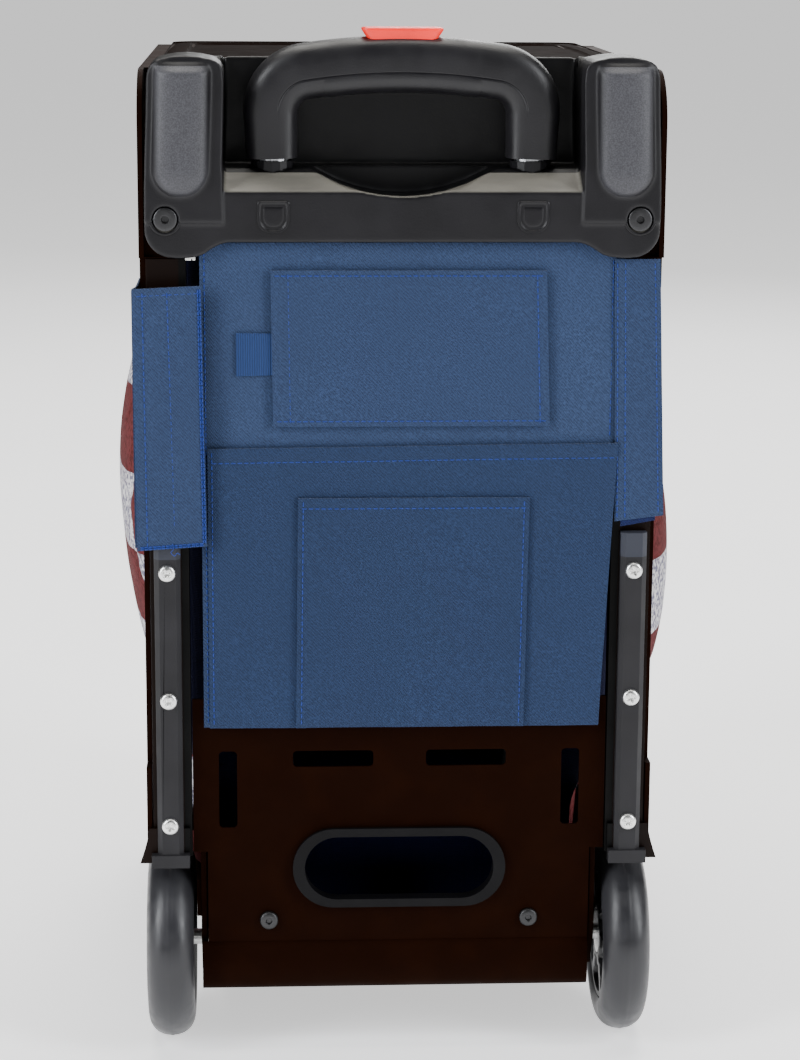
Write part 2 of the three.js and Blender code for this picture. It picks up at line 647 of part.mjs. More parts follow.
function spring() {
  const turns = 3;
  const z0 = 485.3;
  const z1 = 492.4;
  const points = [];
  const perTurn = 6;
  for (let i = 0; i <= turns * perTurn; i += 1) {
    const angle = (i / perTurn) * 2 * Math.PI;
    const z = z0 + 0.5 + ((z1 - z0 - 1) * i) / (turns * perTurn);
    points.push(new THREE.Vector3(3.4 * Math.cos(angle), TUBE_Y + BACK_Y + 3.4 * Math.sin(angle), z));
  }
  const wire = new THREE.Shape();
  wire.absarc(0, 0, 0.4, 0, 2 * Math.PI);
  const path = new THREE.CatmullRomCurve3(points);
  const sweep = { steps: 30, curveSegments: 2, bevelEnabled: false, extrudePath: path };
  return new THREE.ExtrudeGeometry(wire, sweep);
}

add("grip", grip(), FINISH.plastic());
add("grip_insert", gripInsert(), FINISH.soft_grip());
add("release_button", releaseButton(), FINISH.button());
add("button_spring", spring(), FINISH.steel());
addPair("inner_tube", innerTube, FINISH.aluminium);
function plainTube([outside, inside], low, high) {
  return ring(outside, inside, low, high, TUBE_X, TUBE_Y, TUBE_SIDES);
}
const COLLAR = [COLLAR_RADIUS, MIDDLE_TUBE[0] + 0.4];
addPair("middle_tube", () => plainTube(MIDDLE_TUBE, MIDDLE_BOTTOM, COLLAR_TOP + 1), FINISH.aluminium);
addPair("outer_tube", () => plainTube(OUTER_TUBE, TUBE_BOTTOM, 440.2), FINISH.aluminium);
addPair("tube_collar", () => plainTube(COLLAR, 440.8, COLLAR_TOP), FINISH.plastic);
addPair("push_rod", () => bar(2, 492.2 - ROD_BOTTOM, "z", TUBE_X, TUBE_Y, ROD_BOTTOM, 10), FINISH.steel);
addPair("lock_pin", lockPin, FINISH.steel);
add("tube_bracket", tubeBracket(), FINISH.plastic());

// ---------------------------------------------------------------- wheels
function tyre() {
  const half = WHEEL_WIDTH / 2;
  const profile = [[RIM_RADIUS + GAP, -half + 2]];
  profile.push([RIM_RADIUS + 3, -half]);
  const steps = 6;
  for (let i = 0; i <= steps; i += 1) {
    const angle = -Math.PI / 2 + (Math.PI * i) / steps;
    profile.push([WHEEL_RADIUS - 7 + 7 * Math.cos(angle), half * Math.sin(angle)]);
  }
  profile.push([RIM_RADIUS + 3, half]);
  profile.push([RIM_RADIUS + GAP, half - 2]);
  return turned(profile, "x", WHEEL_X, WHEEL_Y, WHEEL_RADIUS, 36);
}

function wheelHub() {
  const bore = BEARING_RADIUS + GAP;
  const profile = [
    [bore, -10.5], [16.5, -10.5], [16.5, -4], [28.5, -4], [28.5, -10], [RIM_RADIUS, -10],
    [RIM_RADIUS, 10], [28.5, 10], [28.5, 4], [16.5, 4], [16.5, 10.5], [bore, 10.5],
    [bore, 3.4], [6, 3.4], [6, -3.4], [bore, -3.4],
  ];
  return turned(profile, "x", WHEEL_X, WHEEL_Y, WHEEL_RADIUS, 28);
}

function bearing(offset) {
  const half = BEARING_WIDTH / 2;
  const inner = AXLE_RADIUS + GAP;
  const profile = [[inner, -half], [BEARING_RADIUS, -half], [BEARING_RADIUS, half], [inner, half]];
  return turned(profile, "x", WHEEL_X + offset, WHEEL_Y, WHEEL_RADIUS, 16);
}

// The axle bolt runs outwards through the wheel plate, a spacer shoulder and both bearings.
function axle() {
  const start = 92;
  const profile = [
    [0, 0], [6.2, 0], [6.2, 3.8], [AXLE_RADIUS, 3.8], [AXLE_RADIUS, 33.4],
    [6, 33.4], [6, 34.6], [4.5, 35.6], [0, 35.6],
  ];
  return turned(profile, "x", start, WHEEL_Y, WHEEL_RADIUS, 16);
}

addPair("tyre", tyre, FINISH.tyre);
addPair("wheel_hub", wheelHub, FINISH.hub);
addPair("bearing_inner", () => bearing(-7.1), FINISH.steel);
addPair("bearing_outer", () => bearing(7.1), FINISH.steel);
addPair("axle", axle, FINISH.steel);

// ---------------------------------------------------------------- soft goods
// The bag fills the frame and bulges through both side openings.
function insertBag() {
  const core = pushX(roundedRect(36, 38.6, 309, 466, 24), -BAG_SIDE, BAG_SIDE, 6);
  const bulge = () => {
    const dome = new THREE.SphereGeometry(1, 26, 14);
    dome.rotateX(Math.PI / 2);
    dome.scale(BAG_BULGE - 83, 152, 205);
    dome.translate(83, 166 + BACK_Y, 262);
    const window = pushX(sideOpening(2.5), 80, BAG_BULGE + 1, 6);
    return common(dome, window);
  };
  return join(core, bulge(), mirrored(bulge()));
}

function fabricBackPanel() {
  const outline = polygon([
    [-96.6, 171.4], [99.6, 171.4], [102.2, LOBE_BOTTOM - 0.6], [93.4, LOBE_BOTTOM - 0.6], [82.5, 410.2],
    [-82.5, 410.2], [-93.4, LOBE_BOTTOM - 0.6], [-96.6, LOBE_BOTTOM - 0.6],
  ]);
  return pushY(outline, -3, -1);
}

function lowerPocket() {
  const body = pushY(polygon([[-93.6, 171.6], [99.4, 171.6], [102, 313.5], [-93.6, 311.5]]), -5.3, -3.3);
  const small = pushY(polygon([[-51.2, 171.8], [60.6, 171.8], [62.2, 287.2], [-50, 287.2]]), -6.8, -5);
  return join(body, small);
}

function cardPocket() {
  return pushY(polygon([[-62.2, 322], [71.2, 322], [68.8, 397.2], [-63, 397]]), -5.6, -3.3);
}

function flapLeft() {
  return pushY(polygon([[-128.2, 262], [-94, 264], [-95.4, 390.5], [-128.6, 389.2]]), -9.4, -7.4);
}

function flapRight() {
  return pushY(polygon([[106.6, 274.5], [127.6, 277], [123, 402.4], [103.4, 402.4]]), -4.6, -2.6);
}

add("insert_bag", insertBag(), FINISH.bag_fabric());
add("fabric_back_panel", fabricBackPanel(), FINISH.blue_fabric());
add("card_pocket", cardPocket(), FINISH.blue_fabric());
add("lower_pocket", lowerPocket(), FINISH.blue_fabric());
add("flap_left", flapLeft(), FINISH.blue_fabric());
add("flap_right", flapRight(), FINISH.blue_fabric());

export default model;
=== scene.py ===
"""The looks of a seat-top rolling bag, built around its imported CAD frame. Lengths are in metres."""

import math

import bmesh
import bpy
from mathutils import Matrix, Vector, noise


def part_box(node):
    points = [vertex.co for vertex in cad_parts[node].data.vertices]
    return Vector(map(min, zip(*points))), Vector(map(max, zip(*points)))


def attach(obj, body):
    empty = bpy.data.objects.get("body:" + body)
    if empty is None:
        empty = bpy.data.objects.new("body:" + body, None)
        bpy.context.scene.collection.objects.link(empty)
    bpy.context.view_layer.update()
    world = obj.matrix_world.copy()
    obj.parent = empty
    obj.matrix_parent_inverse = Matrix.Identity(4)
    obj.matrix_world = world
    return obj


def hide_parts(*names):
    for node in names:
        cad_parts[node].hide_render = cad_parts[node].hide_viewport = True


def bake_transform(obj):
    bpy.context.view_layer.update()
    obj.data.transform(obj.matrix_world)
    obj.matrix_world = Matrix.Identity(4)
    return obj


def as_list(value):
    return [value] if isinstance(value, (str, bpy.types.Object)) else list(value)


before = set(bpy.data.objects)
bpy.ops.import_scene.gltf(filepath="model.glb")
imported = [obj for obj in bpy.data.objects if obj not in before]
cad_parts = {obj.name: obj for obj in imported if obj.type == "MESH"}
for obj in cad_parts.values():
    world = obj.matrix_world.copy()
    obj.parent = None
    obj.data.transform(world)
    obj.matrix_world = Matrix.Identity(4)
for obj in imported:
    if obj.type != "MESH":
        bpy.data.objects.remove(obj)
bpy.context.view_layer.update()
MM = 0.001
SIDES = (("left", -1), ("right", 1))

# The camera that fits the photograph: yaw, pitch and roll in degrees, on a 36 mm sensor.
CAMERA_PLACE = Vector((-0.0687, -1.434, 0.5558))
CAMERA_TURNS = (3.05, 12.58, 0.33)
CAMERA_LENS = 91.6

# Colours.
BLACK = (0.0058, 0.0054, 0.0068)
# painted shade for the rails' inner lips, in the gap beside the cloth
RAIL_LIP_SHADE = (0.0008, 0.0008, 0.0008)
BROWN_SHINE = (1.0, 0.42, 0.28, 1.0)
# painted highlight on the glide strips' tapered top ends
GLIDE_TIP_HIGHLIGHT = (0.030, 0.033, 0.045)
# painted highlight: a paler grey for the housing's two pads, over their coarse grain, standing in for the
# side light on them
PAD_GRAIN_HIGHLIGHT = (0.040, 0.040, 0.045)
# painted top light with some dust: the pale warm tone of the housing's up-facing ledge
DUST_AND_TOP_LIGHT = (0.17, 0.16, 0.135)

# Places where a finish changes.
GLIDE_END_Z = 257 * MM
PAD_X = 104.4 * MM
PAD_TOP_Z = 493.0 * MM
LEDGE_Z = 444.6 * MM
# the top of the ledge's painted top light
LIT_LEDGE_TOP_Z = 447 * MM
# painted shade: deeper than this, the housing's recess is darkened
RECESS_SHADE_Y = -150 * MM

PLATE_DEPTH = 8 * MM  # from the housing's pads in to its flat plate

# The bag: half its core's width, its seams, and its stripes.
BAG_CORE = 92 * MM
PANEL_SEAM = 94 * MM
BACK_SEAM = -88 * MM
REAR_SEAM = -72.5 * MM
STRIPES_TOP = 320.5 * MM
STRIPE = 41.0 * MM

TWILL_PITCH = 1.0 * MM
HUB_SPOKES = 6
PARTING = math.radians(98)
FACE_BACK = Matrix.Rotation(math.radians(90), 4, "X")


# ---------------------------------------------------------------- camera, floor and light

def aimed(location, target, roll=0.0):
    """A rotation that looks from location to target, turned by roll about the line of sight."""
    away = (Vector(location) - Vector(target)).normalized()
    right = Vector((0, 0, 1)).cross(away).normalized()
    turn = Matrix.Rotation(roll, 3, away)
    columns = (turn @ right, turn @ away.cross(right), away)
    return Matrix(columns).transposed().to_4x4()


def make_camera():
    data = bpy.data.cameras.new("camera")
    data.sensor_width = 36
    data.lens = CAMERA_LENS
    data.clip_start = 0.05
    camera = bpy.data.objects.new("camera", data)
    bpy.context.collection.objects.link(camera)
    yaw, pitch, roll = (math.radians(a) for a in CAMERA_TURNS)
    level = math.cos(pitch)
    sight = Vector((math.sin(yaw) * level, math.cos(yaw) * level, -math.sin(pitch)))
    turned_to = aimed(CAMERA_PLACE, CAMERA_PLACE + sight, roll)
    camera.matrix_world = Matrix.Translation(CAMERA_PLACE) @ turned_to
    bpy.context.scene.camera = camera


def softbox(name, place, target, width, height, power, colour=(1, 1, 1)):
    data = bpy.data.lights.new(name, "AREA")
    data.shape = "RECTANGLE"
    data.size = width
    data.size_y = height
    data.energy = power
    data.color = colour
    light = bpy.data.objects.new(name, data)
    bpy.context.collection.objects.link(light)
    light.matrix_world = Matrix.Translation(Vector(place)) @ aimed(place, target)
    light.visible_camera = False


def make_lights():
    middle_height = (0, 0, 0.3)
    cool = (0.95, 0.97, 1.0)
    softbox("top_box", (0, 0.55, 2.3), (0, 0.3, 0.3), 1.7, 2.2, 66, (1.0, 0.98, 0.93))
    softbox("left_box", (-1.7, -1.1, 1.2), middle_height, 0.6, 1.6, 52, cool)
    softbox("right_box", (1.7, -1.1, 1.2), middle_height, 0.6, 1.6, 46, cool)
    softbox("front_box", (0.7, 2.2, 1.5), middle_height, 1.4, 1.0, 30)
    make_sky(seen=0.9, lit=0.06)


def make_sky(seen, lit):
    """A pale surround: bright where it is looked at, dimmer as a light."""
    world = bpy.data.worlds.new("studio")
    world.use_nodes = True
    tree = world.node_tree
    ray = tree.nodes.new("ShaderNodeLightPath").outputs["Is Camera Ray"]
    level = tree.nodes.new("ShaderNodeMapRange")
    level.inputs["To Min"].default_value = lit
    level.inputs["To Max"].default_value = seen
    tree.links.new(ray, level.inputs["Value"])
    background = tree.nodes["Background"]
    background.inputs["Color"].default_value = (1, 1, 1, 1)
    tree.links.new(level.outputs["Result"], background.inputs["Strength"])
    bpy.context.scene.world = world


def make_floor():
    """A wide sheet of pale paper with a point below it, so that it is a closed shape."""
    size = 60.0
    corners = [(-size, -size, 0), (size, -size, 0), (size, size, 0), (-size, size, 0)]
    faces = [(0, 1, 2, 3), (0, 4, 1), (1, 4, 2), (2, 4, 3), (3, 4, 0)]
    floor = closed("floor", corners + [(0, 0, -0.01)], faces)
    f = Finish("floor_paper", Specular_IOR_Level=0.1, Emission_Color=(1, 1, 1, 1), Emission_Strength=0.85)
    paper = f.mix(f.clouds(3, 2, 0.3, 0.7), (0.80, 0.80, 0.81), (0.83, 0.83, 0.84))
    floor.data.materials.append(f.painted(paper, 0.9))


# ---------------------------------------------------------------- materials

class Finish:
    """A material being built on the Principled shader, with short calls for its nodes."""

    def __init__(self, name, **sockets):
        self.material = bpy.data.materials.new(name)
        self.material.use_nodes = True
        self.tree = self.material.node_tree
        self.shader = self.tree.nodes["Principled BSDF"]
        for socket, value in sockets.items():
            self.shader.inputs[socket.replace("_", " ")].default_value = value
        self.place = self.node("TexCoord").outputs["Object"]

    def node(self, kind, **inputs):
        """A new shader node with some of its inputs joined."""
        node = self.tree.nodes.new("ShaderNode" + kind)
        for name, source in inputs.items():
            self.join(source, node.inputs[name])
        return node

    def join(self, source, socket):
        if hasattr(source, "node"):
            self.tree.links.new(source, socket)
        else:
            socket.default_value = source

    def noise(self, scale, detail=2.0, stretch=None):
        place = self.place
        if stretch:
            place = self.node("Mapping", Vector=place, Scale=stretch).outputs["Vector"]
        return self.node("TexNoise", Scale=scale, Detail=detail, Vector=place).outputs["Fac"]

    def clouds(self, scale, detail, low, high, start=0.0, end=1.0):
        """Soft patches that go from start to end as the noise goes from low to high."""
        return self.ramp(self.noise(scale, detail), (low, start), (high, end))

    def bands(self, pitch, along):
        """A wave from 0 to 1 whose crests are pitch apart along the direction."""
        dot = self.node("VectorMath")
        dot.operation = "DOT_PRODUCT"
        dot.inputs[1].default_value = Vector(along).normalized() * (2 * math.pi / pitch)
        self.join(self.place, dot.inputs[0])
        return self.maths("MULTIPLY_ADD", self.maths("SINE", dot.outputs["Value"]), 0.5, 0.5)

    def axis(self, letter):
        return self.node("SeparateXYZ", Vector=self.place).outputs[letter]

    def maths(self, operation, *values):
        node = self.node("Math")
        node.operation = operation
        for value, socket in zip(values, node.inputs):
            self.join(value, socket)
        return node.outputs[0]

    def less(self, a, b):
        return self.maths("LESS_THAN", a, b)

    def more(self, a, b):
        return self.maths("GREATER_THAN", a, b)

    def times(self, a, b):
        return self.maths("MULTIPLY", a, b)

    def ramp(self, factor, *stops):
        """Maps a factor through (place, value) stops."""
        node = self.node("ValToRGB")
        self.join(factor, node.inputs[0])
        for element, (place, value) in zip(node.color_ramp.elements, stops):
            element.position = place
            element.color = (value, value, value, 1)
        return node.outputs["Color"]

    def mix(self, factor, a, b):
        node = self.node("Mix")
        node.data_type = "RGBA"
        self.join(factor, node.inputs[0])
        colours = [s for s in node.inputs if s.type == "RGBA"]
        for value, socket in zip((a, b), colours):
            self.join(value if hasattr(value, "node") else (*value, 1), socket)
        return [s for s in node.outputs if s.type == "RGBA"][0]

    def tones(self, factor, colour, dark, pale):
        """A colour that wanders between a darker and a paler tone of itself."""
        return self.mix(factor, scaled(colour, dark), scaled(colour, pale))

    def made(self, colour, roughness, height, depth):
        """The finished material, with a bump that is depth high."""
        bump = self.node("Bump", Distance=depth, Height=height, Strength=1.0)
        self.join(bump.outputs["Normal"], self.shader.inputs["Normal"])
        return self.painted(colour, roughness)

    def painted(self, colour, roughness):
        self.join(colour, self.shader.inputs["Base Color"])
        self.join(roughness, self.shader.inputs["Roughness"])
        return self.material


def scaled(colour, factor):
    return tuple(c * factor for c in colour)


def plastic(name, colour, roughness, grain=0.05 * MM, gloss=0.5):
    """Moulded plastic with a fine spark-eroded grain and faint handling marks."""
    f = Finish(name, Specular_IOR_Level=gloss)
    tone = f.tones(f.clouds(38, 5, 0.35, 0.7), colour, 0.82, 1.2)
    rough = f.clouds(90, 4, 0.3, 0.75, roughness - 0.06, roughness + 0.09)
    return f.made(tone, rough, f.noise(1150, 2), grain)


def powder_coat(name, colour, roughness, gloss):
    """Baked powder paint on sheet steel: a fine orange peel, with a little wear and a brown shine."""
    f = Finish(name, Specular_IOR_Level=gloss, Specular_Tint=BROWN_SHINE)
    tone = f.tones(f.clouds(60, 6, 0.45, 0.8), colour, 1.0, 1.5)
    rough = f.clouds(45, 4, 0.3, 0.7, roughness - 0.05, roughness + 0.1)
    return f.made(tone, rough, f.noise(700, 1), 0.04 * MM)


def rail_coat(name, brown, inner_x):
    """Powder paint: brown on the outer part of each rail; its inner lip, in the gap beside the cloth, is
    near-black painted shade.
    """
    f = Finish(name, Specular_IOR_Level=0.1)
    # painted shade: the part nearer the middle than inner_x is near-black
    lip = f.less(f.maths("ABSOLUTE", f.axis("X")), inner_x)
    tone = f.mix(lip, f.tones(f.clouds(60, 6, 0.45, 0.8), brown, 1.0, 1.5), RAIL_LIP_SHADE)
    return f.made(tone, f.clouds(45, 4, 0.3, 0.7, 0.4, 0.55), f.noise(700, 1), 0.04 * MM)


def lit_tip_glide(name, colour):
    """Glide plastic, paler on its tapered top end: a painted highlight where the light falls on it."""
    f = Finish(name, Specular_IOR_Level=0.25)
    body = f.tones(f.clouds(38, 5, 0.35, 0.7), colour, 0.82, 1.2)
    # painted highlight: paler grey above GLIDE_END_Z
    tone = f.mix(f.more(f.axis("Z"), GLIDE_END_Z), body, GLIDE_TIP_HIGHLIGHT)
    return f.made(tone, f.clouds(90, 4, 0.3, 0.75, 0.44, 0.6), f.noise(1150, 2), 0.05 * MM)


def moulded(name, black):
    """The housing's plastic: coarse grain and a painted highlight on its two pads, dust and painted top light
    on its up-facing ledge, and painted shade in its recess.
    """
    f = Finish(name, Specular_IOR_Level=0.28)
    height = f.axis("Z")
    aside = f.maths("SUBTRACT", f.maths("ABSOLUTE", f.axis("X")), PAD_X)
    below = f.maths("MINIMUM", f.maths("SUBTRACT", height, LEDGE_Z), 0.0)
    reach = f.maths("SQRT", f.maths("MULTIPLY_ADD", aside, aside, f.times(below, below)))
    on_pad = f.ramp(f.times(reach, 40.0), (0.40, 1.0), (0.52, 0.0))
    pad = f.times(on_pad, f.less(height, PAD_TOP_Z))
    # painted top light with some dust: faces that point up, below the ledge's top, are paled in blotches
    faces_up = f.node("SeparateXYZ", Vector=f.node("NewGeometry").outputs["Normal"]).outputs["Z"]
    dust_and_top_light = f.times(f.ramp(faces_up, (0.3, 0.0), (0.85, 1.0)), f.less(height, LIT_LEDGE_TOP_Z))
    blotches = f.ramp(f.noise(70, 5, (0.35, 1, 1)), (0.35, 0.55), (0.7, 1.0))
    plain = f.tones(f.clouds(38, 5, 0.35, 0.7), black, 0.8, 1.3)
    # the pads' coarse grain, in a paler grey that paints their highlight
    grain_and_highlight = f.mix(pad, plain, f.tones(f.clouds(1500, 2, 0.35, 0.7), PAD_GRAIN_HIGHLIGHT, 1.0, 1.7))
    dust_and_light_tone = f.mix(f.times(dust_and_top_light, blotches), grain_and_highlight, DUST_AND_TOP_LIGHT)
    # painted shade: the recess deeper than the plate gets a quarter of the black
    tone = f.mix(f.more(f.axis("Y"), RECESS_SHADE_Y), dust_and_light_tone, scaled(black, 0.25))
    return f.made(tone, f.clouds(90, 4, 0.3, 0.75, 0.36, 0.52), f.noise(1150, 2), 0.06 * MM)


def rubber(name, colour, roughness):
    """Solid rubber or urethane with a dull bloom and fine scratches along the tread."""
    f = Finish(name, Specular_IOR_Level=0.45)
    tone = f.tones(f.clouds(30, 5, 0.3, 0.75), colour, 0.8, 1.25)
    rough = f.clouds(120, 4, 0.3, 0.7, roughness - 0.08, roughness + 0.1)
    return f.made(tone, rough, f.noise(900, 3, (1, 0.2, 0.2)), 0.05 * MM)


def metal(name, colour, roughness, stretch=None):
    """Bare metal with fine drawn or turned lines."""
    f = Finish(name, Metallic=1.0)
    lines = f.noise(1400, 3, stretch)
    tone = f.tones(f.clouds(80, 4, 0.3, 0.7), colour, 0.85, 1.0)
    return f.made(tone, f.ramp(lines, (0.3, roughness - 0.06), (0.7, roughness + 0.1)), lines, 0.03 * MM)


def twill(name, colour):
    """Close polyester twill: diagonal ribs, broken by the crossing yarns, with a soft sheen."""
    f = Finish(name, Specular_IOR_Level=0.18, Sheen_Weight=0.08, Sheen_Roughness=0.5)
    rib = f.bands(TWILL_PITCH, (1, -1, 1))
    yarn = f.bands(TWILL_PITCH * 0.62, (1, 1, -0.6))
    weave = f.maths("MULTIPLY_ADD", yarn, 0.45, f.times(rib, 0.55))
    fibre = f.noise(900, 3)
    yarns = f.tones(f.ramp(weave, (0.2, 0.0), (0.8, 1.0)), colour, 0.7, 1.22)
    flecks = f.mix(f.ramp(fibre, (0.42, 0.0), (0.7, 1.0)), yarns, scaled(colour, 1.55))
    washed = f.mix(f.times(f.clouds(22, 4, 0.3, 0.72), 0.5), flecks, yarns)
    return f.made(washed, 0.82, f.maths("MULTIPLY_ADD", fibre, 0.3, weave), 0.16 * MM)


def webbing(name, colour, pitch=1.1 * MM):
    """Narrow woven tape with cross ribs."""
    f = Finish(name, Specular_IOR_Level=0.25, Sheen_Weight=0.1)
    rib = f.bands(pitch, (1, 0, 0))
    return f.made(f.tones(rib, colour, 0.7, 1.25), 0.7, rib, 0.2 * MM)


def thread(name, colour):
    """Twisted sewing thread."""
    f = Finish(name, Specular_IOR_Level=0.3)
    twist = f.bands(0.55 * MM, (1, 0.2, 1))
    return f.made(f.tones(twist, colour, 0.7, 1.3), 0.6, twist, 0.05 * MM)


def striped(name, top, band):
    """Bands of worn red and speckled white. The side and rear panels' bands don't meet; the back is navy,
    made very dark with painted shade for the unlit inside of the frame.
    """
    f = Finish(name, Specular_IOR_Level=0.08, Sheen_Weight=0.02)
    x, y, z = (f.axis(letter) for letter in "XYZ")
    weave = f.times(f.bands(0.9 * MM, (0.3, 1, 0)), f.bands(0.9 * MM, (0, 0, 1)))
    worn = f.noise(420, 6)
    height = f.maths("MULTIPLY_ADD", f.noise(35, 2), 3 * MM, z)
    seam_x = f.maths("MULTIPLY_ADD", f.less(y, 100 * MM), -16 * MM, PANEL_SEAM)
    right = f.more(x, seam_x)
    left = f.more(f.times(x, -1.0), seam_x)
    rear_left = f.times(f.less(y, REAR_SEAM), f.less(x, 0.0))
    shift = f.maths("MULTIPLY_ADD", left, 0.09, f.maths("ADD", right, rear_left))
    rows = f.maths("DIVIDE", f.maths("SUBTRACT", top + 12 * band, height), band)
    is_red = f.less(f.maths("MODULO", f.maths("ADD", rows, shift), 2.0), 1.0)
    white = f.mix(f.ramp(worn, (0.44, 1.0), (0.56, 0.0)), (0.70, 0.69, 0.70), (0.16, 0.16, 0.23))
    red = f.mix(f.ramp(worn, (0.42, 1.0), (0.62, 0.0)), (0.052, 0.0042, 0.004), (0.115, 0.020, 0.022))
    dulled = f.mix(f.clouds(60, 5, 0.35, 0.7, 0.35, 0.0), f.mix(is_red, white, red), (0.07, 0.014, 0.014))
    # the back: navy cloth, darkened further as painted shade inside the frame
    tone = f.mix(f.less(y, BACK_SEAM), dulled, (0.0012, 0.002, 0.016))
    return f.made(tone, 0.85, weave, 0.15 * MM)


def make_finishes():
    recipes = (
        (powder_coat, "frame_metal", (0.0046, 0.0011, 0.0002), 0.66, 0.07),
        (rail_coat, "rail_metal", (0.0045, 0.0012, 0.0003), 106.6 * MM),
        (lit_tip_glide, "glide_plastic", (0.013, 0.0125, 0.0145)),
        (plastic, "black_plastic", BLACK, 0.4, 0.05 * MM, 0.28),
        (moulded, "housing_plastic", BLACK),
        (plastic, "seat_plastic", (0.0045, 0.0016, 0.0008), 0.8, 0.09 * MM, 0.02),
        (metal, "screw_steel", (0.92, 0.92, 0.90), 0.32),
        (metal, "dark_steel", (0.06, 0.06, 0.062), 0.42),
        (metal, "tube_metal", (0.6, 0.61, 0.63), 0.28, (1, 1, 0.03)),
        (plastic, "grommet_plastic", (0.003, 0.0028, 0.0034), 0.5, 0.03 * MM, 0.12),
        (plastic, "red_plastic", (1.0, 0.022, 0.012), 0.35, 0.03 * MM),
        (plastic, "soft_grip", BLACK, 0.42, 0.07 * MM, 0.42),
        (rubber, "tyre_rubber", (0.021, 0.021, 0.024), 0.38),
        (plastic, "hub_plastic", (0.022, 0.022, 0.024), 0.38),
        (rubber, "foot_rubber", (0.03, 0.03, 0.032), 0.6),
        (twill, "blue_fabric", (0.0218, 0.0385, 0.087)),
        (twill, "blue_pocket", (0.0120, 0.0244, 0.0620)),
        (twill, "blue_flap", (0.0184, 0.0333, 0.0785)),
        (webbing, "blue_tape", (0.007, 0.028, 0.108)),
        (thread, "blue_thread", (0.012, 0.036, 0.21)),
        (twill, "lining", (0.004, 0.009, 0.05)),
        (webbing, "zip_black", (0.02, 0.02, 0.022), 1.0 * MM),
        (striped, "stripes", STRIPES_TOP, STRIPE),
    )
    return {name: maker(name, *rest) for maker, name, *rest in recipes}


# ---------------------------------------------------------------- mesh tools

def shown(name, mesh):
    obj = bpy.data.objects.new(name, mesh)
    bpy.context.collection.objects.link(obj)
    return obj


def settled(obj):
    """Applies the object's modifiers to its mesh."""
    bpy.context.view_layer.update()
    made = obj.evaluated_get(bpy.context.evaluated_depsgraph_get())
    mesh = bpy.data.meshes.new_from_object(made)
    obj.modifiers.clear()
    obj.data = mesh
    return obj


def smoothed(obj, angle=35):
    obj.data.shade_smooth()
    obj.data.set_sharp_from_angle(angle=math.radians(angle))
    return obj


def piece(obj, body, slot, material, *nodes):
    """Finishes a piece: its material, its body (for the bend between two, only its place is baked in), and
    hides its CAD nodes. The slot argument is not used.
    """
    obj.data.materials.clear()
    obj.data.materials.append(FINISHES[material])
    if isinstance(body, str):
        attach(obj, body)
    else:
        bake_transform(obj)
    if nodes:
        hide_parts(*nodes)
    return obj


def mesh_of(name, bm):
    """A mesh object holding a finished bmesh."""
    mesh = bpy.data.meshes.new(name)
    bm.to_mesh(mesh)
    bm.free()
    return shown(name, mesh)


def rounded(node, edge, segments=2):
    """A copy of a CAD node's shape with its sharp edges rounded."""
    bm = bmesh.new()
    bm.from_mesh(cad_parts[node].data)
    bmesh.ops.remove_doubles(bm, verts=bm.verts, dist=2e-6)
    bmesh.ops.dissolve_limit(bm, angle_limit=math.radians(0.8), verts=bm.verts, edges=bm.edges)
    obj = mesh_of(node + "_formed", bm)
    bevel = obj.modifiers.new("edges", "BEVEL")
    bevel.width = edge
    bevel.segments = segments
    bevel.limit_method = "ANGLE"
    bevel.angle_limit = math.radians(32)
    obj.modifiers.new("shade", "WEIGHTED_NORMAL")
    obj.data.shade_smooth()
    return settled(obj)


def lofted(name, rings, loop=False):
    """A closed mesh skinned over rings of points, which all have the same count."""
    count = len(rings[0])
    points = [tuple(p) for ring in rings for p in ring]
    faces = []
    for i in range(len(rings) if loop else len(rings) - 1):
        a = i * count
        b = (i + 1) % len(rings) * count
        faces += [(a + j, a + (j + 1) % count, b + (j + 1) % count, b + j) for j in range(count)]
    if not loop:
        faces.append(tuple(reversed(range(count))))
        faces.append(tuple(range(len(points) - count, len(points))))
    return closed(name, points, faces)


def closed(name, points, faces):
    """A mesh object from points and faces, with its normals turned outward."""
    mesh = bpy.data.meshes.new(name)
    mesh.from_pydata(points, [], faces)
    bm = bmesh.new()
    bm.from_mesh(mesh)
    bmesh.ops.recalc_face_normals(bm, faces=bm.faces)
    bpy.data.meshes.remove(mesh)
    return mesh_of(name, bm)


def merged(name, objects):
    """One object holding the meshes of several, which are removed."""
    bm = bmesh.new()
    for obj in objects:
        bm.from_mesh(obj.data)
        bpy.data.objects.remove(obj)
    return mesh_of(name, bm)


def turned(name, profile, centre, steps):
    """A ring turned about the X axis through centre, from (radius, along) points."""
    rings = []
    for radius, out in profile:
        rings.append([centre + Vector((out, radius * math.cos(a), radius * math.sin(a)))
                      for a in circle(steps)])
    return lofted(name, rings, loop=True)


def polar_field(name, radius, height, place, floor):
    """A round head: height(x, y) over a disc, standing on a plain base, moved by the matrix place."""
    rows = [[(radius * math.cos(a), radius * math.sin(a), floor) for a in circle(72)]]
    for i in range(18):
        r = radius * (1 - i / 18)
        spots = [(r * math.cos(a), r * math.sin(a)) for a in circle(72)]
        rows.append([(x, y, height(x, y)) for x, y in spots])
    return lofted(name, [[place @ Vector(p) for p in row] for row in rows])


def circle(steps):
    return [2 * math.pi * k / steps for k in range(steps)]


def smoothstep(low, high, x):
    t = min(max((x - low) / (high - low), 0.0), 1.0)
    return t * t * (3 - 2 * t)


def span(low, high, count):
    return [low + (high - low) * k / (count - 1) for k in range(count)]


def arc(centre, radius, start, end, count):
    """Points (x, z) along an arc, its angles in degrees."""
    angles = [math.radians(a) for a in span(start, end, count)]
    return [(centre[0] + radius * math.cos(a), centre[1] + radius * math.sin(a)) for a in angles]


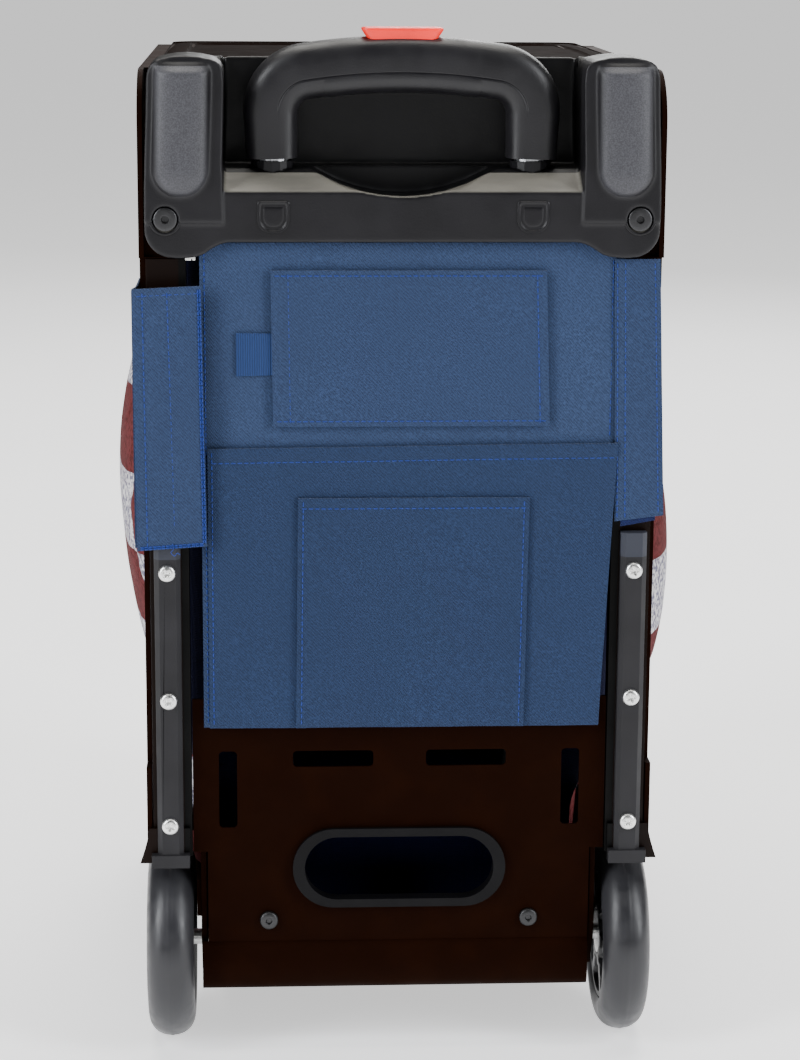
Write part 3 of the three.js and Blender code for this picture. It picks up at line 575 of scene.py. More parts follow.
def middle(node):
    low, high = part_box(node)
    return (low + high) / 2


# ---------------------------------------------------------------- screws

def cross_recess(arm, half, depth):
    """How deep a cross-shaped driver recess is at a point of the head."""
    def deep(x, y):
        along = max(abs(x), abs(y))
        across = min(abs(x), abs(y))
        inside = 1 - smoothstep(half * 0.75, half * 1.35, across)
        return depth * inside * (1 - smoothstep(arm * 0.8, arm, along)) * (1 - 0.4 * along / arm)
    return deep


def socket_recess(radius, depth):
    def deep(x, y):
        return depth * (1 - smoothstep(radius * 0.85, radius * 1.1, math.hypot(x, y)))
    return deep


def screw_head(name, node, radius, crown, recess, finish):
    """A screw head facing backwards, at the place of its CAD node."""
    low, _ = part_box(node)
    centre = middle(node)
    seat = Vector((centre.x, low.y + crown, centre.z))

    def height(x, y):
        r = math.hypot(x, y) / radius
        return crown * max(1 - r ** 4, 0.0) ** 0.5 - recess(x, y)

    turn = Matrix.Rotation(math.radians(17 + 31 * (hash_of(node) % 5)), 4, "Z")
    head = polar_field(name, radius, height, Matrix.Translation(seat) @ FACE_BACK @ turn, -1.2 * MM)
    return piece(smoothed(head, 50), "frame", finish, finish, node)


def hash_of(word):
    """A small whole number from a name, the same on every run."""
    return sum((i + 1) * ord(c) for i, c in enumerate(word))


def make_screws():
    pan = cross_recess(2.4 * MM, 0.55 * MM, 1.3 * MM)
    panel_socket = socket_recess(1.5 * MM, 1.2 * MM)
    housing_socket = socket_recess(1.7 * MM, 2.2 * MM)
    for side, _ in SIDES:
        for k in (1, 2, 3):
            screw_head(f"glide_screw_head_{k}_{side}", f"glide_screw_{k}_{side}", 4.2 * MM, 1.9 * MM, pan,
                       "screw_steel")
        screw_head(f"panel_screw_head_{side}", f"panel_screw_{side}", 4.6 * MM, 1.3 * MM, panel_socket,
                   "dark_steel")
        screw_head(f"housing_screw_head_{side}", f"housing_screw_{side}", 5.5 * MM, 0.5 * MM, housing_socket,
                   "dark_steel")


# ---------------------------------------------------------------- sheet-metal frame

def make_frame():
    """The sheets, rails, glides and feet, which keep their CAD shape with their edges rounded."""
    pairs = (("side_frame", 0.7, 2, "frame_metal", "frame_metal"),
             ("rear_rail", 1.2, 3, "frame_metal", "rail_metal"),
             ("wheel_plate", 0.5, 2, "frame_metal", "frame_metal"),
             ("glide_strip", 0.7, 2, "glide_plastic", "glide_plastic"),
             ("front_foot", 1.6, 3, "foot_rubber", "foot_rubber"))
    formed = [(f"{stem}_{side}", *rest) for side, _ in SIDES for stem, *rest in pairs]
    formed += [(node, edge, 2, "frame_metal", "frame_metal")
               for node, edge in (("back_panel", 0.5), ("base_tray", 0.4), ("front_crossbar", 0.8))]
    for node, edge, segments, slot, material in formed:
        piece(rounded(node, edge * MM, segments), "frame", slot, material, node)


def make_sheet_folds():
    """Folds of the sheet metal: the panel's foot, the side sheets' rear webs, the lips under the glides."""
    low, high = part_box("back_panel")
    route = [(0.9, 58.0), (-0.2, 56.8), (-1.2, 53.0), (-2.2, 47.5), (-2.3, 42.0), (-1.4, 37.0), (0.6, 34.4),
             (4.2, 33.4)]
    curve = eased([(low.y + y * MM, z * MM) for y, z in route], 4)
    rows = [[(x, y, z) for x in span(low.x + 3.9 * MM, high.x - 7.0 * MM, 24)] for y, z in curve]
    piece(thickened("panel_rolled_foot", rows, 1.5 * MM), "frame", "frame_metal", "frame_metal")
    inner = 104 * MM
    for side, sign in SIDES:
        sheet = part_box(f"side_frame_{side}")
        outer = max(abs(sheet[0].x), abs(sheet[1].x)) - 0.5 * MM
        web_y = low.y + 3.6 * MM
        rows = [[(sign * x, web_y, z) for x in span(inner, outer, 12)] for z in span(388 * MM, 452 * MM, 24)]
        piece(thickened(f"side_web_{side}", rows, 1.4 * MM), "frame", "frame_metal", "frame_metal")
        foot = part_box(f"glide_strip_{side}")[0]
        rows = []
        for t in span(0, 1, 16):
            tip = outer - 0.5 * MM + 4.6 * MM * (1 - t) ** 1.4
            z = foot.z + 1.2 * MM + 18 * MM * t
            rows.append([(sign * x, foot.y + 5.5 * MM, z) for x in span(inner, tip, 10)])
        # rail_metal gives the lip's inner part the same painted shade as the rails' inner lips
        piece(thickened(f"frame_lip_{side}", rows, 1.5 * MM), "frame", "frame_metal", "rail_metal")


def make_grommet():
    """The ring that lines the panel's oval opening."""
    ring = rounded("grommet_ring", 0.9 * MM, 3)
    piece(ring, "frame", "black_plastic", "grommet_plastic", "grommet_ring")


def make_rail_clip():
    """A small bright clip under the housing's edge, in the gap between the left rail and the cloth."""
    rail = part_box("rear_rail_left")
    centre = Vector((rail[1].x + 2.2 * MM, rail[0].y - 0.9 * MM, rail[1].z + 0.6 * MM))
    parts = []
    for shift, *half in ((-1.03, 1.42, 0.9, 1.3), (1.7, 0.75, 0.9, 1.3), (0.3, 1.2, 0.4, 0.4)):
        half = Vector(half) * MM
        place = centre + Vector((shift * MM, 0, 0))
        parts.append(rounded_box("clip_part", place - half, place + half, 0.35 * MM, 8))
    piece(smoothed(merged("left_rail_clip", parts), 60), "frame", "screw_steel", "screw_steel")


def finish_kept_nodes():
    """The CAD nodes that keep their shape get a worked material too."""
    kept = {
        "tube_metal": ("inner_tube", "middle_tube"),
        "dark_steel": ("outer_tube", "push_rod"),
        "black_plastic": ("tube_bracket", "tube_collar"),
        "screw_steel": ("lock_pin", "axle", "bearing_inner", "bearing_outer", "button_spring"),
    }
    finish_of = {stem: finish for finish, stems in kept.items() for stem in stems}
    for name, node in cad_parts.items():
        stem = name.removesuffix("_left").removesuffix("_right")
        if stem in finish_of and not node.hide_render:
            node.data.materials.clear()
            node.data.materials.append(FINISHES[finish_of[stem]])


# ---------------------------------------------------------------- wheels

def make_tyre(side):
    low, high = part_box(f"tyre_{side}")
    radius = (high.z - low.z) / 2
    half = (high.x - low.x) / 2
    inner = 34.4 * MM
    profile = [(inner, -half + 2.2 * MM), (inner + 2.2 * MM, -half + 0.4 * MM)]
    round_half = half - 0.2 * MM
    for bend in (math.radians(a) for a in span(-90, 90, 41)):
        ridge = 0.28 * MM * math.exp(-((math.sin(bend) * round_half / (0.5 * MM)) ** 2))
        squared = math.copysign(abs(math.sin(bend)) ** 0.92, bend)
        tread = radius - 12.5 * MM + 12.2 * MM * math.cos(bend) ** 0.86 + ridge
        profile.append((tread, round_half * squared))
    profile += [(inner + 2.2 * MM, half - 0.4 * MM), (inner, half - 2.2 * MM)]
    tyre = turned(f"tyre_tread_{side}", profile, (low + high) / 2, 128)
    piece(smoothed(tyre, 50), f"{side}_wheel", "tyre_rubber", "tyre_rubber", f"tyre_{side}")


def hub_sink(y, z, rim):
    """How far the hub's face is sunk at a point: pockets between its spokes, inside the rim."""
    r = math.hypot(y, z)
    sector = 2 * math.pi / HUB_SPOKES
    wave = abs(math.remainder(math.atan2(z, y) / sector, 1.0)) * sector
    from_spoke = r * math.sin(min(wave, math.pi / 2))
    pocket = smoothstep(3.0 * MM, 4.6 * MM, from_spoke)
    pocket *= smoothstep(13.5 * MM, 15.5 * MM, r) * (1 - smoothstep(rim - 2 * MM, rim, r))
    return 6.5 * MM * pocket


def make_hub(side):
    low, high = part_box(f"wheel_hub_{side}")
    centre = (low + high) / 2
    radius = (high.z - low.z) / 2
    half = (high.x - low.x) / 2
    bore = 11.4 * MM
    radii = [bore] + span(bore + 0.6 * MM, radius - 0.6 * MM, 46) + [radius]
    rings = []
    for face in (-1, 1):
        rows = []
        for r in radii:
            edge = 0.7 * MM if r in (bore, radius) else 0
            step = 0.5 * MM * smoothstep(16.5 * MM, 18 * MM, r)
            top = half - edge - step
            spots = [(r * math.cos(a), r * math.sin(a)) for a in circle(144)]
            rows.append([centre + Vector((face * (top - hub_sink(y, z, radius - 3 * MM)), y, z))
                         for y, z in spots])
        rings += rows if face < 0 else reversed(rows)
    hub = lofted(f"hub_disc_{side}", rings, loop=True)
    piece(smoothed(hub, 40), f"{side}_wheel", "hub_plastic", "hub_plastic", f"wheel_hub_{side}")


def make_wheels():
    for side, _ in SIDES:
        make_tyre(side)
        make_hub(side)


# ---------------------------------------------------------------- handle housing, grip and button

def remeshed(obj, voxel, passes, keep=None):
    """Melts the shapes of an object into one moulded body with soft edges."""
    grid = obj.modifiers.new("melt", "REMESH")
    grid.mode = "VOXEL"
    grid.voxel_size = voxel
    settled(obj)
    ease = obj.modifiers.new("ease", "SMOOTH")
    ease.factor = 0.5
    ease.iterations = passes
    if keep:
        thin = obj.modifiers.new("thin", "DECIMATE")
        thin.ratio = keep
    return settled(obj)


def cut_away(obj, cutter):
    tool = obj.modifiers.new("cut", "BOOLEAN")
    tool.operation = "DIFFERENCE"
    tool.solver = "EXACT"
    tool.object = cutter
    settled(obj)
    bpy.data.objects.remove(cutter)
    return obj


def box_shape(name, low, high):
    corners = [(x, y, z) for x in (low[0], high[0]) for y in (low[1], high[1]) for z in (low[2], high[2])]
    faces = [(0, 1, 3, 2), (4, 6, 7, 5), (0, 4, 5, 1), (2, 3, 7, 6), (0, 2, 6, 4), (1, 5, 7, 3)]
    return closed(name, corners, faces)


def tower_pad(sign, face, top, low, mid, half, proud):
    """The long rounded pad on a tower: a half cylinder that ends in a dome below and fades at the top."""
    rings = []
    for z in span(low, top, 44):
        end = min(1.0, (z - low) / half)
        width = half * math.sqrt(max(1 - (1 - end) ** 2, 0.004))
        fade = 1 - smoothstep(top - 5 * MM, top, z) * 0.75
        depth = proud * (1 - (1 - end) ** 2) ** 0.5 * fade
        ring = [(sign * mid + width * math.cos(a), face - depth * abs(math.sin(a)) ** 0.9, z)
                for a in [math.radians(d) for d in span(0, 180, 25)]]
        ring += [(sign * mid - width, face + 4 * MM, z), (sign * mid + width, face + 4 * MM, z)]
        rings.append(ring)
    return lofted("pad", rings)


def make_housing():
    low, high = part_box("handle_housing")
    proud = 6.5 * MM
    face = low.y + proud
    shell = rounded("handle_housing", 0.2 * MM)
    shell.name = "shell_blank"
    cut_away(shell, box_shape("slice", (-0.2, low.y - 0.01, low.z - 0.01), (0.2, face, high.z + 0.01)))
    cut_away(shell, scoop_cutter(low.y - 4 * MM, low.y + 20 * MM))
    pads = [tower_pad(s, face + 0.2 * MM, high.z - 3.5 * MM, high.z - 65.5 * MM, 105.4 * MM, 13.1 * MM, proud)
            for _, s in SIDES]
    body = merged("handle_housing_shell", [shell, *pads])
    remeshed(body, 0.8 * MM, 5, 0.45)
    inner_wall = -128 * MM
    for vertex in body.data.vertices:
        p = vertex.co
        if p.y > inner_wall:
            wall = smoothstep(470 * MM, 486 * MM, p.z) * (1 - smoothstep(84 * MM, 92 * MM, abs(p.x)))
            p.z = min(p.z + 4.6 * MM * wall, high.z)
        lean = smoothstep(425 * MM, high.z, p.z) * smoothstep(70 * MM, 84 * MM, abs(p.x))
        p.x -= math.copysign(2.0 * MM * lean, p.x)
    piece(smoothed(body, 60), "frame", "black_plastic", "housing_plastic", "handle_housing")
    for side, sign in SIDES:
        make_boss(side)
        make_badge(side, sign)


def scoop_cutter(y0, y1):
    """A wide round bar along Y that leaves a shallow finger scoop in the housing's ledge."""
    half, top, bottom = 43.8 * MM, 444.6 * MM, 432.5 * MM
    deep = top - bottom
    radius = (deep ** 2 + half ** 2) / (2 * deep)
    rings = [[(radius * math.cos(a), y, bottom + radius + radius * math.sin(a)) for a in circle(180)]
             for y in (y0, y1)]
    return lofted("scoop_bar", rings)


def make_boss(side):
    """The moulded ring around a housing screw."""
    centre = middle(f"housing_screw_{side}")
    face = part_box("handle_housing")[0].y + PLATE_DEPTH
    rings = []
    for k in span(0, 360, 25)[:-1]:
        radius = (7.0 + 0.75 * math.cos(math.radians(k))) * MM
        y = face - 0.45 * MM * math.sin(math.radians(k))
        rings.append([(centre.x + radius * math.cos(a), y, centre.z + radius * math.sin(a))
                      for a in circle(72)])
    ring = lofted(f"screw_boss_ring_{side}", rings, loop=True)
    piece(smoothed(ring, 60), "frame", "black_plastic", "black_plastic")


def badge_outline(half):
    """A U shape as high as it is wide: flat top with small corners and a round bottom."""
    corner = half * 0.18
    bend = half * 0.86
    top = half - corner
    points = arc((top, top), corner, 0, 90, 5) + arc((-top, top), corner, 90, 180, 5)
    points += arc((bend - half, bend - half), bend, 180, 270, 10)
    return points + arc((half - bend, bend - half), bend, 270, 360, 10)


def make_badge(side, sign):
    """A blank moulded plate: a raised U-shaped rim around a sunk, plain field with a low pad."""
    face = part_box("handle_housing")[0].y + PLATE_DEPTH
    centre = (sign * 61.4 * MM, 422.7 * MM)
    steps = ((0, 0.9), (0, -0.35), (0.35, -0.7), (1.0, -0.7), (1.45, -0.3),
             (1.9, 0.15), (2.6, 0.2), (3.1, -0.2), (3.6, -0.3), (5.0, -0.3))
    rings = []
    for inset, rise in steps:
        outline = badge_outline((7.6 - inset) * MM)
        rings.append([(centre[0] + x, face + rise * MM, centre[1] + z) for x, z in outline])
    badge = lofted(f"badge_plate_{side}", rings)
    piece(smoothed(badge, 40), "frame", "black_plastic", "black_plastic")


def grip_path():
    """Centre line of the grip from the left leg's foot to the right one's, as (x, z)."""
    low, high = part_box("grip")
    foot = low.z - 0.6 * MM
    crown_radius = 300 * MM
    elbow = (-43.5 * MM, high.z - 34.6 * MM)
    sweep = math.degrees(math.asin(43.5 / 300))
    half = [(-62.0 * MM - 0.5 * MM * t, foot + (elbow[1] - foot) * t) for t in span(0, 1, 12)]
    half += arc(elbow, 19 * MM, 180, 90 + sweep, 26)[1:]
    x, z = half[-1]
    crown = (0, z - crown_radius * math.cos(math.radians(sweep)))
    start = math.degrees(math.atan2(z - crown[1], x))
    half += arc(crown, math.hypot(x, z - crown[1]), start, 90, 30)[1:]
    return half + [(-x, z) for x, z in reversed(half[:-1])]


def grip_rings():
    """Each step along the grip: its centre, the way outward, its half width and depth, and its middle y."""
    low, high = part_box("grip")
    depth = (high.y - low.y) / 2
    mid_y = (high.y + low.y) / 2
    path = grip_path()
    rings = []
    for i, (x, z) in enumerate(path):
        ahead = Vector(path[min(i + 1, len(path) - 1)]) - Vector(path[max(i - 1, 0)])
        outward = Vector((-ahead[1], ahead[0])).normalized()
        rise = smoothstep(low.z, low.z + 34 * MM, z)
        rings.append((x, z, outward, (12.2 + 1.0 * rise) * MM, depth - 0.6 * MM * (1 - rise), mid_y))
    return rings


def section_point(ring, angle, inset=0.0):
    """A point of the grip's squarish oval section; angle 0 faces outward and 90 degrees backwards."""
    x, z, outward, half, depth, mid_y = ring
    c = math.cos(angle)
    s = math.sin(angle)
    across = (half - inset) * math.copysign(abs(c) ** 0.66, c)
    back = (depth - inset) * math.copysign(abs(s) ** 0.66, s)
    return Vector((x + outward[0] * across, mid_y - back, z + outward[1] * across))


def make_grip():
    low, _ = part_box("grip")
    angles = circle(60) + [s * PARTING + d for s in (1, -1) for d in (-0.03, 0.0, 0.03)]
    angles = sorted(a % (2 * math.pi) for a in angles)
    rows = []
    for ring in grip_rings():
        groove = 0.5 * MM * smoothstep(low.z + 16 * MM, low.z + 28 * MM, ring[1])
        row = []
        for a in angles:
            off = min(abs(math.remainder(a - s * PARTING, 2 * math.pi)) for s in (1, -1))
            row.append(section_point(ring, a, groove if off < 0.02 else 0.0))
        rows.append(row)
    piece(smoothed(lofted("grip_shell", rows), 60), "handle_top", "soft_grip", "soft_grip", "grip")
    make_grip_insert(38 * MM)
    make_button()


def make_button():
    """The release button's cap: wider at its top than at the mouth that it sinks into."""
    low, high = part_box("release_button")
    mid = (low.y + high.y) / 2
    steps = ((15.2, 7.6, 10.0), (15.6, 8.1, 7.6), (16.6, 8.3, 5.2), (18.9, 8.5, 1.8), (19.3, 8.6, 1.1),
             (19.2, 8.4, 0.5), (18.7, 7.9, 0.15), (17.6, 6.9, 0.0), (10.0, 3.0, 0.0))
    rows = [plan_ring(half * MM, mid - deep * MM, mid + deep * MM, min(deep, 3.2) * MM, high.z - drop * MM)
            for half, deep, drop in steps]
    cap = lofted("release_button_cap", rows)
    piece(smoothed(cap, 50), "release", "red_plastic", "red_plastic", "release_button")


def make_grip_insert(half):
    """The softer pad under the fingers, let into the grip between two short split lines."""
    rings = [r for r in grip_rings() if abs(r[0]) <= half + 1 * MM]
    fingers = span(PARTING + 0.05, 2 * math.pi - PARTING - 0.05, 30)
    rows = []
    for k, ring in enumerate(rings):
        proud = -0.05 * MM if k in (0, len(rings) - 1) else -0.35 * MM
        outer = [section_point(ring, a, proud + (0.3 * MM if j in (0, 29) else 0))
                 for j, a in enumerate(fingers)]
        rows.append(outer + [section_point(ring, a, 1.2 * MM) for a in reversed(fingers)])
    piece(smoothed(lofted("grip_pad", rows), 50), "handle_top", "soft_grip", "soft_grip", "grip_insert")


# ---------------------------------------------------------------- seat

def plan_ring(half_x, y0, y1, corner, z):
    """A rounded rectangle seen from above; z is a height or gives one at (x, y)."""
    cx = half_x - corner
    points = []
    corners = ((cx, y1 - corner, 0), (-cx, y1 - corner, 90), (-cx, y0 + corner, 180), (cx, y0 + corner, 270))
    for k, (x, y, start) in enumerate(corners):
        points += arc((x, y), corner, start, start + 90, 10)
        nx, ny, after = corners[(k + 1) % 4]
        a = points[-1]
        b = arc((nx, ny), corner, after, after + 90, 2)[0]
        points += [(a[0] + (b[0] - a[0]) * t, a[1] + (b[1] - a[1]) * t) for t in span(0, 1, 12)[1:-1]]
    return [(x, y, z(x, y) if callable(z) else z) for x, y in points]


def make_seat():
    low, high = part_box("seat")
    half = high.x
    mid = (low.y + high.y) / 2
    depth = (high.y - low.y) / 2
    brim = high.z - 8.2 * MM

    def crowned(drop):
        def z(x, y):
            bow = 1 - ((y - mid) / depth) ** 2
            side = 1 - smoothstep(half - 14 * MM, half, abs(x)) * 0.45
            return brim + 0.9 * MM + 1.8 * MM * bow * side - drop
        return z

    # Insets from the sides, the rear and the front, the corner's radius, and the height.
    under = ((26, 30, 30, 4, brim - 4 * MM), (20, 6, 12, 6, brim - 4 * MM), (20, 6, 12, 6, low.z),
             (17, 2, 9, 8, low.z), (17, 2, 9, 8, brim), (1.6, 1.2, 1.6, 13, brim),
             (0.3, 0.3, 0.3, 14, brim + 0.6 * MM), (0, 0, 0, 14, brim + 1.6 * MM))
    rows = [plan_ring(half - side * MM, low.y + rear * MM, high.y - front * MM, corner * MM, z)
            for side, rear, front, corner, z in under]
    steps = [(0.6, 0.9), (2.2, 0.25), (5.0, 0.0), (9.0, 0.0), (11.0, 0.15), (12.0, 1.1), (13.4, 1.3)]
    steps += [(inset, 1.3) for inset in (20, 34, 48, 62, 76, 90, 104)]
    for inset, drop in steps:
        r = inset * MM
        corner = max(14 * MM - r * 0.35, 3 * MM)
        rows.append(plan_ring(half - r, low.y + r, high.y - r, corner, crowned(drop * MM)))
    piece(smoothed(lofted("seat_top", rows), 40), "frame", "seat_plastic", "seat_plastic", "seat")


# ---------------------------------------------------------------- cloth pieces

def drape(x, z):
    """How far the sewn back cloth stands out of its plane: soft waves that every layer shares."""
    wave = noise.noise(Vector((x * 26, 0.7, z * 17))) + 0.45 * noise.noise(Vector((x * 70, 3.1, z * 44)))
    slope = noise.noise(Vector((x * 34 + z * 30, 5.2, z * 12 - x * 14)))
    return (0.6 + 0.75 * wave + 0.45 * slope) * MM


def patch(name, corners, outer, thickness, relief=None, cell=2.4 * MM):
    """A closed sheet of cloth facing backwards; corners are (x, z) from the bottom left, anticlockwise."""
    a, b, c, d = (Vector(p) for p in corners)
    nx = max(4, round((b - a).length / cell))
    nz = max(4, round((d - a).length / cell))
    cells = [(i, j) for j in range(nz + 1) for i in range(nx + 1)]
    face = []
    back = []
    for i, j in cells:
        u = i / nx
        v = j / nz
        x, z = (a * (1 - u) + b * u) * (1 - v) + (d * (1 - u) + c * u) * v
        rim = 0.3 * thickness if i in (0, nx) or j in (0, nz) else 0.0
        lift = drape(x, z)
        face.append((x, outer - lift - (relief(x, z) if relief else 0.0) + rim, z))
        back.append((x, outer + thickness - lift - rim, z))
    row = nx + 1
    far = len(face)
    faces = []
    for j in range(nz):
        for k in range(j * row, j * row + nx):
            faces.append((k, k + 1, k + row + 1, k + row))
            faces.append((far + k, far + k + row, far + k + row + 1, far + k + 1))
    border = [i for i in range(nx)] + [j * row + nx for j in range(nz)]
    border += [nz * row + i for i in range(nx, 0, -1)] + [j * row for j in range(nz, 0, -1)]
    faces += [(p, far + p, far + q, q) for p, q in zip(border, border[1:] + border[:1])]
    return smoothed(closed(name, face + back, faces), 55)


def along(start, end, pitch):
    """Stitch places from one (x, z) point to another: middle and direction of each."""
    a = Vector(start)
    b = Vector(end)
    count = max(1, round((b - a).length / pitch))
    way = (b - a) / count
    return [(a + way * (k + 0.5), way.normalized()) for k in range(count)]


def stitch_mesh(name, places, length, radius, surface):
    """Thread: one small spindle for each stitch, lying on surface(x, z), which gives its y."""
    points = []
    faces = []
    sides = 6
    for place, way in places:
        y = surface(place[0], place[1])
        across = Vector((-way[1], way[0]))
        first = len(points)
        for t, fat, dip in ((-0.5, 0.35, 0.5), (-0.3, 0.9, 0.0), (0.3, 0.9, 0.0), (0.5, 0.35, 0.5)):
            centre = place + way * (t * length)
            for a in circle(sides):
                flat = across * (math.cos(a) * radius * fat)
                out = math.sin(a) * radius * fat
                points.append((centre[0] + flat[0], y - out + dip * radius, centre[1] + flat[1]))
        for s in range(first, first + 3 * sides, sides):
            for k in range(sides):
                n = (k + 1) % sides
                faces.append((s + k, s + n, s + sides + n, s + sides + k))
        faces.append(tuple(first + k for k in reversed(range(sides))))
        faces.append(tuple(first + 3 * sides + k for k in range(sides)))
    return smoothed(closed(name, points, faces), 80)


def sewn(name, lines, body, surface, length=2.5 * MM, radius=0.34 * MM, pitch=3.1 * MM):
    """Rows of stitches along straight lines, as one piece."""
    places = [place for start, end in lines for place in along(start, end, pitch)]
    stitches = stitch_mesh(name, places, length, radius, surface)
    return piece(stitches, body, "blue_fabric", "blue_thread")


def line_distance(x, z, lines):
    """Distance from a point to the nearest of some straight lines."""
    best = 1.0
    for (ax, az), (bx, bz) in lines:
        dx = bx - ax
        dz = bz - az
        t = min(max(((x - ax) * dx + (z - az) * dz) / (dx * dx + dz * dz), 0), 1)
        best = min(best, math.hypot(x - ax - t * dx, z - az - t * dz))
    return best


def quilted(lines, hem, edges):
    """Relief of a cloth face: dips along its seams, and folded hems along some edges."""
    def relief(x, z):
        dip = 0.45 * MM * math.exp(-((line_distance(x, z, lines) / (1.3 * MM)) ** 2))
        fold = hem * (1 - smoothstep(5.5 * MM, 7 * MM, line_distance(x, z, edges))) if edges else 0.0
        return fold - dip
    return relief


def sewn_sheet(name, corners, outer, thickness, seams, body, nodes, hems=(), hem=0.35 * MM,
               finish="blue_fabric"):
    """A cloth panel with its stitching."""
    relief = quilted(seams, hem, hems)

    def surface(x, z):
        return outer - drape(x, z) - relief(x, z) - 0.05 * MM

    panel = patch(name, corners, outer, thickness, relief)
    piece(panel, body, "blue_fabric", finish, *nodes)
    return panel, [sewn(name + "_stitching", seams, body, surface)]


def quad_edges(corners):
    return [(corners[k], corners[(k + 1) % 4]) for k in range(4)]


def inset_edges(corners, inset, *sides):
    """Straight seams inside a four-sided panel, parallel to some of its edges (0 is the bottom)."""
    lines = []
    centre = sum((Vector(c) for c in corners), Vector((0, 0))) / 4
    for k in sides:
        a = Vector(corners[k])
        b = Vector(corners[(k + 1) % 4])
        way = (b - a).normalized()
        inward = Vector((-way[1], way[0]))
        if inward.dot(centre - a) < 0:
            inward = -inward
        short = way * 1.5 * MM
        lines.append((tuple(a + inward * inset + short), tuple(b + inward * inset - short)))
    return lines


def make_back_cloth():
    low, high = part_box("fabric_back_panel")
    left = low.x
    right = high.x
    corners = [(left, low.z), (right - 3.9 * MM, low.z), (right + 4.1 * MM, high.z), (left, high.z)]
    seams = [((left + 2.2 * MM, low.z + 2 * MM), (left + 2.2 * MM, high.z - 4 * MM)),
             ((right - 1.6 * MM, low.z + 145 * MM), (right - 1.4 * MM, high.z - 8 * MM))]
    panel, stitching = sewn_sheet("back_cloth", corners, low.y, 1.4 * MM, seams, "frame",
                                  ["fabric_back_panel"])
    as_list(stitching)
    make_lower_pocket()
    make_card_pocket()
    make_pull_tab(left)


def make_lower_pocket():
    """The wide pocket with its hemmed mouth, and the smaller pocket sewn on it."""
    low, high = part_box("lower_pocket")
    left = low.x
    right = high.x
    top = high.z
    corners = [(left, low.z), (right - 4.2 * MM, low.z), (right + 2.6 * MM, top), (left, top - 2.2 * MM)]
    seams = inset_edges(corners, 7.2 * MM, 2) + inset_edges(corners, 2.0 * MM, 3)
    panel, stitching = sewn_sheet("lower_pocket_cloth", corners, low.y + 1.5 * MM, 1.3 * MM, seams, "frame",
                                  ["lower_pocket"], quad_edges(corners)[2:3], finish="blue_pocket")
    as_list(stitching)
    small_left = left + 43.4 * MM
    small_right = right - 40 * MM
    small_top = top - 26.3 * MM
    foot = low.z + 0.4 * MM
    corners = [(small_left - 1.2 * MM, foot), (small_right - 1.4 * MM, foot), (small_right, small_top),
               (small_left, small_top)]
    seams = inset_edges(corners, 5.2 * MM, 2) + inset_edges(corners, 2.6 * MM, 1, 3)
    panel, stitching = sewn_sheet("small_pocket_cloth", corners, low.y, 1.3 * MM, seams, "frame", [],
                                  quad_edges(corners)[1:], finish="blue_pocket")
    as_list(stitching)


def make_card_pocket():
    low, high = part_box("card_pocket")
    corners = [(low.x + 1 * MM, low.z), (high.x, low.z), (high.x - 2.6 * MM, high.z), (low.x, high.z)]
    seams = inset_edges(corners, 8.3 * MM, 3) + inset_edges(corners, 4.6 * MM, 1)
    seams += inset_edges(corners, 2.6 * MM, 0, 2)
    panel, stitching = sewn_sheet("card_pocket_cloth", corners, low.y, 1.6 * MM, seams, "frame",
                                  ["card_pocket"],
                                  quad_edges(corners), 0.3 * MM, "blue_flap")
    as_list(stitching)


def make_pull_tab(left):
    low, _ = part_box("card_pocket")
    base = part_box("fabric_back_panel")[0].y
    x0 = left + 17 * MM
    x1 = low.x + 6 * MM
    z0 = low.z + 24.5 * MM
    corners = [(x0, z0), (x1, z0 + 0.5 * MM), (x1, z0 + 20.5 * MM), (x0, z0 + 20.8 * MM)]
    tab = patch("pull_tab", corners, base - 1.4 * MM, 1.1 * MM, cell=1.2 * MM)
    piece(tab, "frame", "blue_fabric", "blue_tape")


def make_left_flap():
    """The free flap: a panel with two rows of edging thread and a loose thread end."""
    low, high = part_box("flap_left")
    corners = [(low.x + 0.9 * MM, low.z), (high.x, low.z + 2.3 * MM), (high.x - 1.6 * MM, high.z),
               (low.x, high.z - 1.7 * MM)]
    middle_x = low.x + 18 * MM
    seams = inset_edges(corners, 5 * MM, 3) + inset_edges(corners, 1.2 * MM, 0, 1)
    seams += inset_edges(corners, 3.5 * MM, 2)
    seams.append(((middle_x + 1 * MM, low.z + 12 * MM), (middle_x - 1.3 * MM, high.z - 3 * MM)))
    panel, stitching = sewn_sheet("left_flap_cloth", corners, low.y, 1.6 * MM, seams, "left_flap",
                                  ["flap_left"],
                                  quad_edges(corners), 0.3 * MM, "blue_flap")

    def edging_surface(x, z):
        return low.y - drape(x, z) - 0.2 * MM

    for k, inset in enumerate((0.7 * MM, 1.8 * MM)):
        rim = inset_edges(corners, inset, 0, 1)
        stitching.append(sewn(f"left_flap_edging_{k + 1}", rim, "left_flap", edging_surface,
                              1.9 * MM, 0.36 * MM, 2.1 * MM))
    stitching.append(thread_tail(Vector((middle_x, low.y - 1.2 * MM, low.z + 2 * MM))))
    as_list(stitching)


def thread_tail(start):
    """A loose end of sewing thread at the foot of the left flap's middle seam."""
    bends = ((0, 0, 2), (0.4, -0.6, -0.6), (-0.8, -1.0, -2.2), (0.9, -1.3, -3.8), (2.2, -1.2, -2.4),
             (3.6, -0.9, -3.2))
    path = eased([start + Vector(b) * MM for b in bends], 5)
    tail = tube_along("left_flap_thread_tail", path, 0.22 * MM, 6)
    return piece(tail, "left_flap", "blue_fabric", "blue_thread")


